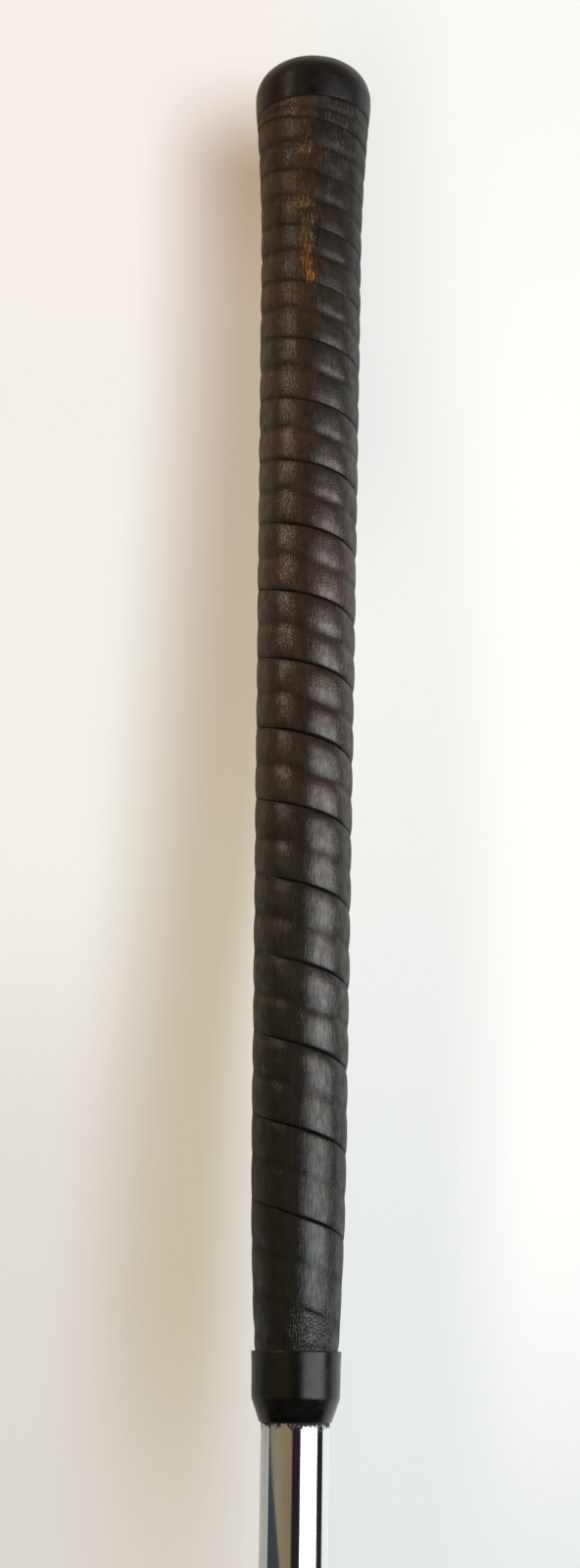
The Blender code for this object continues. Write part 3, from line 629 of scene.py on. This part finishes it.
def leather_strip(finish):
    """One strip wound down the grip, with its own relief, panel number and seam distances for the shader."""
    shape = bmesh.new()
    edge_layer = shape.verts.layers.float.new("edge_mm")
    crease_layer = shape.verts.layers.float.new("crease_mm")
    panel_layer = shape.verts.layers.float.new("panel")
    open_layer = shape.verts.layers.float.new("openness")
    count = round((LAST_TURN - FIRST_TURN) * STEPS_PER_TURN)
    spread = [0.5 - 0.5 * math.cos(math.pi * step / (ACROSS - 1)) for step in range(ACROSS)]
    spread = [0.55 * uneven + 0.45 * step / (ACROSS - 1) for step, uneven in enumerate(spread)]
    rows = []
    for index in range(count + 1):
        turns = FIRST_TURN + index / STEPS_PER_TURN
        wave = noise.noise(Vector((turns * 1.7, 3.1, 0.0))) * 0.3 * MM
        next_wave = noise.noise(Vector(((turns + 1) * 1.7, 3.1, 0.0))) * 0.3 * MM
        upper_open, lower_open = seam_openness(turns), seam_openness(turns + 1)
        upper_gap = SEAM_HALF_GAP * min(max(upper_open, 0.0), 1.0)
        lower_gap = SEAM_HALF_GAP * min(max(lower_open, 0.0), 1.0)
        top = max(seam_distance(turns) + wave + upper_gap, CAP_SKIRT)
        bottom = min(seam_distance(turns + 1) + next_wave - lower_gap, LEATHER_LENGTH)
        bottom = max(bottom, top + 0.1 * MM)
        width = bottom - top
        angle = math.tau * (turns - 0.5)
        direction = Vector((math.cos(angle), math.sin(angle), 0.0))
        row = []
        for share in spread:
            distance = top + width * share
            full = min(width / (14 * MM), 1.0)
            bare = direction * leather_radius(distance) + Vector((0, 0, DATUM_Z - distance))
            puff = 1.0 + 0.6 * noise.noise(bare * 60.0) - 0.45 * min(max((distance - 0.23) / 0.04, 0.0), 1.0)
            depth = strip_depth(width * share, width, upper_open, lower_open, puff) * full
            lump = noise.noise(bare * 130.0) * 0.06 * MM + noise.noise(bare * 480.0) * 0.025 * MM
            squeeze = 0.1 * MM + lump
            if distance > COLLAR_MOUTH - 1 * MM:
                squeeze += 0.1 * MM
            vert = shape.verts.new(bare - direction * (depth + squeeze))
            vert[edge_layer] = min(share, 1 - share) * width / MM
            vert[crease_layer] = abs(share - 0.5) * width / MM
            vert[panel_layer] = math.floor(turns * 2) * 2 + (1 if share > 0.5 else 0)
            vert[open_layer] = upper_open if share < 0.5 else lower_open
            row.append(vert)
        for distance in (bottom, top):
            radius = leather_radius(distance) - LEATHER_THICKNESS * 0.6 - 0.3 * MM
            vert = shape.verts.new(direction * radius + Vector((0, 0, DATUM_Z - distance)))
            vert[panel_layer] = math.floor(turns * 2) * 2
            row.append(vert)
        rows.append(row)
    for lower, upper in zip(rows, rows[1:]):
        for index in range(len(lower)):
            after = (index + 1) % len(lower)
            shape.faces.new((lower[index], lower[after], upper[after], upper[index]))
    shape.faces.new(rows[0])
    shape.faces.new(rows[-1])
    return add_piece("leather_wrap", shape, finish, "leather", "leather_strip", sharp=60)


def cap_piece(finish):
    """The domed cap: a short upright rim, an elliptical dome and a flat end."""
    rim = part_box("end_cap")[0].z
    seat = JOINT_Z + 0.04 * MM
    rim_radius = CAP_RADIUS - 0.3 * MM
    socket = BUTT_RADIUS + 0.25 * MM
    spigot = BUTT_RADIUS - 0.9 * MM
    flat_radius = 6.0 * MM
    wall = 2.6 * MM
    dome = []
    for step in range(25):
        angle = math.radians(90 * step / 24)
        reach = (CAP_RADIUS - flat_radius) * math.cos(angle)
        rise = (BUTT_Z - DATUM_Z - wall) * math.sin(angle)
        dome.append((flat_radius + reach, DATUM_Z + wall + rise))
    outline = [
        (0.0, rim),
        (spigot, rim),
        (spigot, SHAFT_HIGH_Z + 0.3 * MM),
        (socket, SHAFT_HIGH_Z + 0.3 * MM),
        (socket, seat),
        (rim_radius - 0.2 * MM, seat),
        (rim_radius - 0.04 * MM, seat + 0.12 * MM),
        (rim_radius, seat + 0.4 * MM),
        (rim_radius + 0.1 * MM, seat + 1.5 * MM),
        (CAP_RADIUS - 0.09 * MM, seat + 3.0 * MM),
        (CAP_RADIUS - 0.02 * MM, seat + 4.4 * MM),
        *dome[:-1],
        (flat_radius, BUTT_Z),
        (flat_radius * 0.6, BUTT_Z - 0.01 * MM),
        (0.0, BUTT_Z - 0.03 * MM),
    ]
    shape = turned_mesh(outline, 128, 0.04 * MM, 140.0)
    return add_piece("butt_cap", shape, finish, "cap_plastic", "end_cap")


def collar_piece(finish):
    """The collar: a rolled mouth, a near-parallel body, a chamfer and a thin edge on the shaft."""
    shoulder = COLLAR_LOW_Z + 5.0 * MM
    lip = BUTT_RADIUS + 0.12 * MM
    body = COLLAR_RADIUS - 0.1 * MM
    outline = [
        (lip, COLLAR_LOW_Z + 6.0 * MM),
        (lip, COLLAR_LOW_Z, 0.1 * MM),
        (lip + 0.28 * MM, COLLAR_LOW_Z, 0.12 * MM),
        (body - 0.08 * MM, shoulder, 0.5 * MM),
        (body - 0.05 * MM, shoulder + 3.5 * MM, 1.0 * MM),
        (body, COLLAR_HIGH_Z - 2.6 * MM, 0.8 * MM),
        (COLLAR_RADIUS, COLLAR_HIGH_Z - 0.25 * MM, 0.12 * MM),
        (COLLAR_RADIUS - 0.1 * MM, COLLAR_HIGH_Z, 0.08 * MM),
        (COLLAR_RADIUS - 0.5 * MM, COLLAR_HIGH_Z, 0.08 * MM),
        (COLLAR_RADIUS - 0.52 * MM, COLLAR_LOW_Z + 6.4 * MM),
    ]
    shape = turned_mesh(rounded(outline, 0.3 * MM), 128, 0.02 * MM, 200.0)
    return add_piece("grip_ferrule", shape, finish, "collar_plastic", "grip_collar")


# ---------------------------------------------------------------- shaft


def shaft_piece(finish):
    """The stepped tube: eleven short rounded shoulders from the butt to the tip."""
    outline = [(BUTT_RADIUS - 0.42 * MM, SHAFT_HIGH_Z), (BUTT_RADIUS, SHAFT_HIGH_Z, 0.15 * MM)]
    for step in range(STEPS):
        height = FIRST_STEP_Z - step * STEP_SPACING
        upper = BUTT_RADIUS + (TIP_RADIUS - BUTT_RADIUS) * step / STEPS
        lower = BUTT_RADIUS + (TIP_RADIUS - BUTT_RADIUS) * (step + 1) / STEPS
        outline.append((upper, height, 0.7 * MM))
        outline.append((lower, height - STEP_RAMP, 0.5 * MM))
    outline.append((TIP_RADIUS, SHAFT_LOW_Z, 0.3 * MM))
    outline.append((TIP_RADIUS - 0.6 * MM, SHAFT_LOW_Z))
    shape = turned_mesh(rounded(outline, 0.3 * MM), 96)
    return add_piece("chrome_shaft", shape, finish, "shaft_chrome", "shaft")


def ferrule_piece(finish):
    """The hosel ferrule: a polished taper with two turned lines near its foot."""
    bore = TIP_RADIUS + 0.12 * MM
    low, high = FERRULE_LOW_Z, FERRULE_HIGH_Z
    tip = bore + 0.45 * MM
    outline = [(bore, low), (FERRULE_RADIUS, low, 0.1 * MM)]
    for line in (1.6 * MM, 3.0 * MM):
        outline.append((FERRULE_RADIUS, low + line, 0.05 * MM))
        outline.append((FERRULE_RADIUS - 0.22 * MM, low + line + 0.2 * MM, 0.05 * MM))
        outline.append((FERRULE_RADIUS - 0.01 * MM, low + line + 0.4 * MM, 0.05 * MM))
    for step in range(1, 13):
        share = step / 12
        start = low + 3.8 * MM
        radius = FERRULE_RADIUS + (tip - FERRULE_RADIUS) * share**1.5
        outline.append((radius, start + (high - start) * share))
    outline.append((bore, high))
    shape = turned_mesh(rounded(outline, 0.2 * MM, 3), 96)
    return add_piece("hosel_collar", shape, finish, "ferrule_plastic", "hosel_ferrule")


# ---------------------------------------------------------------- head


def blade_outline(x):
    """Lowest and highest z of the blade at a place between heel and toe."""
    middle = (HEEL_X + TOE_START_X) / 2
    slope = (TOE_TOP - HEEL_TOP) / (TOE_START_X - HEEL_X)
    if x <= TOE_START_X:
        return SOLE_ROCKER * (x - middle) ** 2, HEEL_TOP + slope * (x - HEEL_X)
    share = min((x - TOE_START_X) / (TOE_X - TOE_START_X), 1.0)
    kept = (1 - share**2.4) ** (1 / 2.4)
    low_full = SOLE_ROCKER * (TOE_START_X - middle) ** 2
    low = TOE_TIP_Z + (low_full - TOE_TIP_Z) * kept
    high = TOE_TIP_Z + (TOE_TOP + slope * (x - TOE_START_X) * kept - TOE_TIP_Z) * kept
    return low, high


def blade_section(x):
    """The closed outline of the blade at x: up the face, over the top, down the back and along the sole."""
    low, high = blade_outline(x)
    height = high - low
    across = (x - HEEL_X) / (TOE_START_X - HEEL_X)
    width = HEEL_SOLE_WIDTH + (SOLE_WIDTH - HEEL_SOLE_WIDTH) * min(across, 1.0)
    toeward = max(x - TOE_START_X, 0.0) / (TOE_X - TOE_START_X)
    fullness = math.sqrt(1 - min(toeward, 1.0) ** 2)
    sole = TOP_THICKNESS + (width - TOP_THICKNESS) * fullness
    muscle = TOP_THICKNESS + (MUSCLE_THICKNESS - TOP_THICKNESS) * fullness
    edge = min(1.3 * MM, height / 6)
    up = Vector((0.0, -math.sin(LOFT), math.cos(LOFT)))
    back = Vector((0.0, -math.cos(LOFT), -math.sin(LOFT)))
    lead = Vector((x, FACE_Y - low * math.tan(LOFT), low))
    face_length = height / math.cos(LOFT)

    def at(along, behind):
        return lead + up * along + back * behind

    start, stop = edge * 1.4, face_length - edge * 0.9
    points = [at(start + (stop - start) * step / 10, 0.0) for step in range(11)]
    points.append(at(face_length - edge * 0.3, edge * 0.3))
    points.append(at(face_length - edge * 0.1, TOP_THICKNESS * 0.35))
    points.append(at(face_length - edge * 0.1, TOP_THICKNESS * 0.65))
    points.append(at(face_length - edge * 0.3, TOP_THICKNESS - edge * 0.3))
    points.append(at(face_length - edge, TOP_THICKNESS))
    for share in (0.88, 0.8, 0.72, 0.64):
        points.append(at(face_length * share, TOP_THICKNESS + 0.4 * MM * (1 - share)))
    for step in range(8):
        share = step / 7
        smooth = share * share * (3 - 2 * share)
        depth = TOP_THICKNESS + 0.2 * MM + (muscle - TOP_THICKNESS - 0.2 * MM) * smooth
        points.append(at((0.56 - 0.16 * share) * face_length, depth))
    level = Vector((0.0, -1.0, 0.0))
    along_sole = (level * fullness + back * (1 - fullness)).normalized()
    trail = lead + along_sole * sole
    upper_trail = at(0.30 * face_length, muscle + 0.6 * MM * fullness)
    trail_top = trail + Vector((0.0, 0.2 * MM, min(5.0 * MM, height * 0.2)))
    for share in (0.0, 0.35, 0.7, 1.0):
        points.append(upper_trail.lerp(trail_top, share))
    points.append(trail + Vector((0.0, 0.25 * MM, min(3.2 * MM, height * 0.13))))
    points.append(trail + Vector((0.0, 1.0 * MM, min(2.1 * MM, height * 0.085))))
    for step in range(9):
        share = 0.12 + 0.76 * step / 8
        rise = 6.25 * SOLE_CAMBER * fullness * max(abs(share - 0.5) - 0.1, 0.0) ** 2
        points.append(trail - along_sole * sole * share + Vector((0.0, 0.0, rise)))
    points.append(lead + Vector((0.0, -edge * 0.25, edge * 0.95)))
    points.append(lead + up * edge * 1.15 + back * edge * 0.06)
    return points


def hosel_ring(height, radius, count):
    """A ring round the shaft axis, in the address frame, that starts at the foot of the face."""
    axis = Vector((-math.cos(LIE), 0.0, math.sin(LIE)))
    toeward = Vector((math.sin(LIE), 0.0, math.cos(LIE)))
    points = []
    for index in range(count):
        angle = math.radians(-48) + math.tau * index / count
        around = Vector((0.0, math.cos(angle), 0.0)) + toeward * math.sin(angle)
        points.append(axis * height + around * radius)
    return points


def neck_rings(steps):
    """Rings that turn from the heel of the blade into the round hosel along smooth curves."""
    axis = Vector((-math.cos(LIE), 0.0, math.sin(LIE)))
    heel = blade_section(HEEL_X)
    beyond = blade_section(HEEL_X + 0.5 * MM)
    base = hosel_ring(HOSEL_BASE, HOSEL_RADIUS, len(heel))
    rings = []
    for step in range(1, steps + 1):
        share = step / steps
        rest = 1 - share
        ring = []
        for start, ahead, end in zip(heel, beyond, base):
            span = (end - start).length
            first = start + (start - ahead).normalized() * span * 0.3
            second = end - axis * span * 0.5
            place = start * rest**3 + first * 3 * rest * rest * share
            ring.append(place + second * 3 * rest * share * share + end * share**3)
        rings.append(ring)
    return rings


def to_club_frame():
    """Stands the soled head up, so that its hosel lies along +Z and its face looks to -Y."""
    stand = Matrix.Rotation(math.pi, 4, "Z") @ Matrix.Rotation(math.pi / 2 - LIE, 4, "Y")
    return Matrix.Translation((0.0, 0.0, GROUND_Z)) @ stand


def loft(rings):
    shape = bmesh.new()
    rows = [[shape.verts.new(point) for point in ring] for ring in rings]
    for lower, upper in zip(rows, rows[1:]):
        for index in range(len(lower)):
            after = (index + 1) % len(lower)
            shape.faces.new((lower[index], lower[after], upper[after], upper[index]))
    shape.faces.new(rows[0])
    shape.faces.new(rows[-1])
    bmesh.ops.recalc_face_normals(shape, faces=shape.faces[:])
    return shape


def plain_object(name, shape):
    mesh = bpy.data.meshes.new(name)
    shape.to_mesh(mesh)
    shape.free()
    made = bpy.data.objects.new(name, mesh)
    bpy.context.scene.collection.objects.link(made)
    return made


def score_line_cutter():
    """Eleven V-shaped score lines with slanted ends, trimmed at the heel where the top line comes down."""
    up = Vector((0.0, -math.sin(LOFT), math.cos(LOFT)))
    out = Vector((0.0, math.cos(LOFT), math.sin(LOFT)))
    low, _ = blade_outline((GROOVE_HEEL_X + GROOVE_TOE_X) / 2)
    shape = bmesh.new()
    for index in range(GROOVES):
        along = 4.4 * MM + GROOVE_PITCH * index
        topline_x = HEEL_X + ((along + 3.8 * MM) * math.cos(LOFT) - HEEL_TOP) * (
            (TOE_START_X - HEEL_X) / (TOE_TOP - HEEL_TOP)
        )
        left = max(GROOVE_HEEL_X, topline_x)
        middle = Vector((0.0, FACE_Y - low * math.tan(LOFT), low)) + up * along
        corners = []
        for depth, half_width, inset in (
            (0.5 * MM, 0.75 * MM, -0.5 * MM),
            (0.0, GROOVE_WIDTH / 2, 0.0),
            (-GROOVE_DEPTH, 0.14 * MM, 0.35 * MM),
        ):
            row = []
            for x, side in ((left + inset, -1), (GROOVE_TOE_X - inset, -1), (GROOVE_TOE_X - inset, 1), (left + inset, 1)):
                row.append(shape.verts.new(middle + Vector((x, 0, 0)) + out * depth + up * half_width * side))
            corners.append(row)
        for upper, lower in zip(corners, corners[1:]):
            for corner in range(4):
                after = (corner + 1) % 4
                shape.faces.new((upper[corner], upper[after], lower[after], lower[corner]))
        shape.faces.new(corners[0])
        shape.faces.new(corners[-1])
    bmesh.ops.recalc_face_normals(shape, faces=shape.faces[:])
    bmesh.ops.transform(shape, matrix=to_club_frame(), verts=shape.verts[:])
    return plain_object("score_line_cutter", shape)


def pin_hole_cutter():
    shape = turned_mesh([(0.0, -20 * MM), (PIN_RADIUS + 0.04 * MM, -20 * MM), (PIN_RADIUS + 0.04 * MM, 20 * MM), (0.0, 20 * MM)], 48)
    lay = Matrix.Translation((0, 0, PIN_Z)) @ Matrix.Rotation(math.pi / 2, 4, "X")
    bmesh.ops.transform(shape, matrix=lay, verts=shape.verts[:])
    bmesh.ops.recalc_face_normals(shape, faces=shape.faces[:])
    return plain_object("pin_hole_cutter", shape)


def club_head(finish):
    """The forging: a fine skin through the blade, neck and hosel, smoothed, then scored and drilled."""
    blade = [HEEL_X + (TOE_START_X - HEEL_X) * step / 22 for step in range(23)]
    toe = [TOE_START_X + (TOE_X - TOE_START_X) * math.sin(math.radians(4.8 * step)) for step in range(1, 19)]
    rings = [blade_section(x) for x in reversed(blade + toe)]
    count = len(rings[0])
    bore = TIP_RADIUS + 0.15 * MM
    rings += neck_rings(20)
    for height in (PIN_HEIGHT - 6 * MM, PIN_HEIGHT, PIN_HEIGHT + 6 * MM, HOSEL_TOP - 2 * MM, HOSEL_TOP - 0.7 * MM):
        rings.append(hosel_ring(height, HOSEL_RADIUS, count))
    rings.append(hosel_ring(HOSEL_TOP - 0.3 * MM, HOSEL_RADIUS - 0.05 * MM, count))
    rings.append(hosel_ring(HOSEL_TOP - 0.05 * MM, HOSEL_RADIUS - 0.3 * MM, count))
    rings.append(hosel_ring(HOSEL_TOP, HOSEL_RADIUS - 0.6 * MM, count))
    rings.append(hosel_ring(HOSEL_TOP, bore + 0.2 * MM, count))
    rings.append(hosel_ring(HOSEL_TOP - 0.2 * MM, bore, count))
    rings.append(hosel_ring(BORE_FLOOR + 1 * MM, bore, count))
    rings.append(hosel_ring(BORE_FLOOR, bore - 0.5 * MM, count))
    shape = loft(rings)
    bmesh.ops.transform(shape, matrix=to_club_frame(), verts=shape.verts[:])
    made = plain_object("forged_head", shape)
    smooth = made.modifiers.new("smooth", "SUBSURF")
    smooth.levels = smooth.render_levels = 1
    cutters = [score_line_cutter(), pin_hole_cutter()]
    for cutter in cutters:
        hole = made.modifiers.new(cutter.name, "BOOLEAN")
        hole.operation = "DIFFERENCE"
        hole.object = cutter
    cut = made.evaluated_get(bpy.context.evaluated_depsgraph_get())
    mesh = bpy.data.meshes.new_from_object(cut)
    made.modifiers.clear()
    made.data = mesh
    for cutter in cutters:
        bpy.data.objects.remove(cutter)
    mesh.materials.clear()
    mesh.materials.append(finish)
    mesh.shade_smooth()
    mesh.set_sharp_from_angle(angle=math.radians(28))
    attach(made, "root")
    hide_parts("club_head")
    return made


def rivet(finish):
    """The pin through the hosel, with both ends ground to the hosel's own curve and left a hair proud."""
    half = HOSEL_RADIUS
    outline = [(0.0, -half), (PIN_RADIUS * 0.6, -half + 0.03 * MM), (PIN_RADIUS - 0.12 * MM, -half + 0.12 * MM)]
    outline.append((PIN_RADIUS, -half + 0.28 * MM))
    outline += [(radius, -height) for radius, height in reversed(outline)]
    shape = turned_mesh(outline, 48)
    lay = Matrix.Translation((0, 0, PIN_Z)) @ Matrix.Rotation(math.pi / 2, 4, "X")
    bmesh.ops.transform(shape, matrix=lay, verts=shape.verts[:])
    return add_piece("hosel_rivet", shape, finish, "pin_steel", "hosel_pin")


def finish_hidden_nodes():
    """The pieces inside the club keep their CAD shapes and get their own finishes."""
    finishes = {
        "underlisting": hidden_material("listing_rubber", (0.045, 0.045, 0.04), (0.075, 0.072, 0.062), (0.5, 0.5, 0.5), 0.8),
        "grip_tape": hidden_material("paper_tape", (0.52, 0.43, 0.29), (0.66, 0.58, 0.42), (0.4, 0.4, 3.0), 0.85),
        "strip_end_tape": hidden_material("cloth_tape", (0.02, 0.02, 0.02), (0.05, 0.05, 0.05), (4.0, 4.0, 4.0), 0.85),
        "tip_weight": hidden_material("weight_brass", (0.58, 0.42, 0.17), (0.72, 0.56, 0.28), (0.3, 0.3, 6.0), 0.35, 1.0),
        "tip_cork": hidden_material("cork", (0.34, 0.2, 0.1), (0.56, 0.4, 0.24), (1.4, 1.4, 1.4), 0.9),
    }
    for node, finish in finishes.items():
        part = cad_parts[node]
        part.data.materials.clear()
        part.data.materials.append(finish)


# ---------------------------------------------------------------- stage


def backdrop_colour(graph, azimuth, elevation):
    """The pale surroundings as the camera sees them, with the soft warm shade that hangs left of the club."""
    down = graph.span(elevation, 30.0, -5.0)
    middle = graph.bump_shape(elevation, 17.0, 4.0, 8.0)
    left = graph.mix(down, (0.93, 0.87, 0.82, 1.0), (0.73, 0.69, 0.65, 1.0))
    left = graph.mix(middle, left, (0.90, 0.87, 0.81, 1.0))
    right = graph.mix(down, (0.96, 0.95, 0.90, 1.0), (0.79, 0.83, 0.81, 1.0))
    # A painted brighter patch of window light on the backdrop right of the club, then a faint painted shadow close to
    # its right side.
    bright = graph.math("MULTIPLY", graph.span(azimuth, 3.4, 6.2), graph.bump_shape(elevation, 13.0, 8.0, 12.0))
    right = graph.mix(bright, right, (1.0, 1.0, 0.97, 1.0))
    right_shade = graph.math("MULTIPLY", graph.span(azimuth, 4.6, 1.4), graph.bump_shape(elevation, 26.0, 3.0, 6.0))
    right = graph.mix(graph.math("MULTIPLY", right_shade, 0.5), right, (0.66, 0.72, 0.70, 1.0))
    tone = graph.mix(graph.span(azimuth, -1.5, 2.0), left, right)
    shade_middle = graph.span(elevation, 28.0, -2.0, -1.2, -2.5)
    off_shade = graph.math("SUBTRACT", azimuth, shade_middle)
    shade = graph.span(off_shade, -3.4, 0.0)
    inner = graph.span(elevation, 16.0, 6.0, 0.6, 0.1)
    shade = graph.math("MULTIPLY", shade, graph.span(off_shade, inner, graph.math("ADD", inner, 2.0), 1.0, 0.0))
    shade = graph.math("MULTIPLY", shade, graph.span(elevation, 31.4, 28.4))
    shade = graph.math("MULTIPLY", shade, graph.span(elevation, 25.0, 29.0, 0.86, 1.0))
    shade = graph.math("MULTIPLY", shade, graph.span(elevation, -5.5, 2.5, 0.3, 1.0))
    shade_colour = graph.mix(graph.span(elevation, 26.0, 3.0), (0.47, 0.36, 0.25, 1.0), (0.54, 0.485, 0.33, 1.0))
    shown = graph.mix(shade, tone, shade_colour)
    far = graph.span(graph.math("ABSOLUTE", azimuth), 30.0, 140.0)
    return graph.mix(far, shown, (0.84, 0.83, 0.79, 1.0))


def studio_colour(graph, azimuth, elevation):
    """What lights the club: a white softbox front right, a small lamp front left, pale walls behind, a dim room."""
    around = graph.math("MULTIPLY_ADD", azimuth, 1 / 360, 0.5)
    bands = [
        (-180, (0.60, 0.56, 0.48)),
        (-150, (0.50, 0.47, 0.40)),
        (-112, (0.43, 0.42, 0.38)),
        (-98, (0.48, 0.48, 0.45)),
        (-96.5, (0.05, 0.05, 0.05)),
        (-94, (0.05, 0.05, 0.05)),
        (-91, (0.27, 0.25, 0.18)),
        (-50, (0.28, 0.24, 0.15)),
        (-34, (0.27, 0.21, 0.12)),
        (-13, (0.26, 0.19, 0.11)),
        (-7, (0.022, 0.014, 0.02)),
        (13, (0.022, 0.016, 0.024)),
        (98, (0.02, 0.02, 0.022)),
        (101, (0.78, 0.84, 0.83)),
        (119, (0.80, 0.84, 0.82)),
        (123, (0.45, 0.48, 0.47)),
        (128, (0.74, 0.76, 0.72)),
        (180, (0.60, 0.56, 0.48)),
    ]
    stops = [((degrees + 180) / 360, colour) for degrees, colour in bands]
    room = graph.ramp(around, stops)
    in_front = graph.bump_shape(azimuth, 0.0, 98.0, 10.0)
    warm = graph.math("MULTIPLY", graph.span(elevation, -2.0, 1.0), graph.span(azimuth, -30.0, -50.0))
    tint = graph.mix(graph.span(elevation, 3.0, 26.0), (0.64, 0.58, 0.50, 1.0), (1.14, 0.89, 0.66, 1.0))
    room = graph.mix(warm, room, graph.mix(1.0, room, tint, "MULTIPLY"))
    level = graph.span(elevation, 0.5, -1.0)
    room = graph.mix(graph.math("MULTIPLY", graph.bump_shape(azimuth, 94.0, 10.0, 1.5), level), room, (0.02, 0.02, 0.022, 1.0))
    room = graph.mix(graph.math("MULTIPLY", graph.bump_shape(azimuth, 136.0, 29.0, 1.5), level), room, (1.0, 1.04, 1.04, 1.0))

    # A slanting dark edge that only the bare shaft catches.
    wedge = graph.math("MULTIPLY_ADD", elevation, 13.6, azimuth)
    wedge = graph.math("MULTIPLY", graph.span(wedge, -116.0, -112.0, 1.0, 0.0), graph.span(azimuth, -98.0, -96.0))
    wedge = graph.math("MULTIPLY", wedge, graph.bump_shape(elevation, -3.4, 2.2, 0.8))
    room = graph.mix(wedge, room, (0.05, 0.06, 0.07, 1.0))

    above = graph.span(elevation, 24.0, 50.0)
    ceiling = graph.mix(in_front, (0.66, 0.64, 0.58, 1.0), (0.27, 0.22, 0.16, 1.0))
    room = graph.mix(graph.math("MULTIPLY", above, graph.math("MULTIPLY_ADD", in_front, 0.8, 0.2)), room, ceiling)
    below = graph.math("MULTIPLY", graph.span(elevation, -16.0, -27.0), in_front)
    room = graph.mix(below, room, (0.012, 0.012, 0.014, 1.0))
    room = graph.mix(graph.span(elevation, -50.0, -75.0), room, (0.40, 0.39, 0.37, 1.0))

    left_edge = graph.span(elevation, -0.5, 3.0, 17.0, 13.0)
    full_edge = graph.span(elevation, -0.5, 3.0, 20.5, 25.0)
    window = graph.span(azimuth, left_edge, full_edge)
    window = graph.math("MULTIPLY", window, graph.span(azimuth, 76.5, 79.0, 1.0, 0.0))
    upper = graph.span(elevation, 9.0, 21.0, 1.0, 0.1)
    upper = graph.math("MULTIPLY", upper, graph.span(elevation, 24.0, 34.0, 1.0, 0.0))
    lower = graph.span(elevation, -22.0, -14.0)
    window = graph.math("MULTIPLY", window, graph.math("MULTIPLY", upper, lower))
    glass = graph.mix(graph.span(elevation, 2.0, 8.0), (2.58, 2.88, 2.84, 1.0), (3.1, 2.8, 2.6, 1.0))
    strong = graph.span(azimuth, 20.0, 50.0, 0.86, graph.span(elevation, 7.0, 13.0, 1.0, 1.3))
    glass = graph.mix(1.0, glass, graph.grey(strong), "MULTIPLY")
    room = graph.mix(window, room, glass)
    lamp = graph.math("MULTIPLY", graph.bump_shape(azimuth, -51.0, 1.1, 1.5), graph.bump_shape(elevation, 29.5, 11.0, 5.0))
    return graph.mix(lamp, room, (9.8, 8.0, 6.6, 1.0))


def build_world():
    world = bpy.data.worlds.new("soft_studio")
    bpy.context.scene.world = world
    world.use_nodes = True
    graph = Graph(world.node_tree)
    shown = world.node_tree.nodes["Background"]
    direction = graph.node("ShaderNodeTexCoord").outputs["Generated"]
    parts = graph.node("ShaderNodeSeparateXYZ", {0: direction}).outputs
    azimuth = graph.math("ARCTAN2", parts[0], graph.math("MULTIPLY", parts[1], -1.0))
    azimuth = graph.math("MULTIPLY", azimuth, 180 / math.pi)
    elevation = graph.math("MULTIPLY", graph.math("ARCSINE", parts[2]), 180 / math.pi)
    behind = graph.math("ARCTAN2", parts[0], parts[1])
    behind = graph.math("MULTIPLY", behind, 180 / math.pi)
    seen = graph.node("ShaderNodeLightPath").outputs["Is Camera Ray"]
    studio = studio_colour(graph, azimuth, elevation)
    backdrop = backdrop_colour(graph, behind, elevation)
    graph.feed(shown.inputs["Color"], graph.mix(seen, studio, backdrop))
    return world


def build_floor():
    shape = bmesh.new()
    bmesh.ops.create_circle(shape, cap_ends=True, segments=96, radius=5.0)
    mesh = bpy.data.meshes.new("floor")
    shape.to_mesh(mesh)
    shape.free()
    mesh.materials.append(floor_material())
    made = bpy.data.objects.new("floor", mesh)
    made.location.z = CAD_BOX[0].z - 0.5 * MM
    bpy.context.scene.collection.objects.link(made)
    made.visible_glossy = False
    return made


def build_camera():
    data = bpy.data.cameras.new("camera")
    data.lens = LENS
    data.clip_start = 0.01
    camera = bpy.data.objects.new("camera", data)
    bpy.context.scene.collection.objects.link(camera)
    place = Matrix.Translation((-CAMERA_LEFT, -CAMERA_DISTANCE, DATUM_Z - CAMERA_DROP))
    tilt = Matrix.Rotation(math.radians(90) + CAMERA_TILT, 4, "X")
    camera.matrix_world = place @ tilt @ Matrix.Rotation(CAMERA_ROLL, 4, "Z")
    bpy.context.scene.camera = camera
    return camera


leather_strip(leather_material())
cap_piece(plastic_material("cap_plastic", (0.0072, 0.0062, 0.0064), 0.26, 0.4, 0.36))
collar_piece(plastic_material("collar_plastic", (0.004, 0.0042, 0.004), 0.22, 0.32))
shaft_piece(chrome_material())
ferrule_piece(plastic_material("ferrule_plastic", (0.01, 0.01, 0.01), 0.12, 0.22))
club_head(head_material(to_club_frame().inverted()))
rivet(hidden_material("pin_steel", (0.45, 0.45, 0.46), (0.62, 0.62, 0.62), (1.2, 1.2, 1.2), 0.3, 1.0))
finish_hidden_nodes()

build_world()
build_floor()
build_camera()
bpy.context.scene.view_settings.view_transform = "Standard"
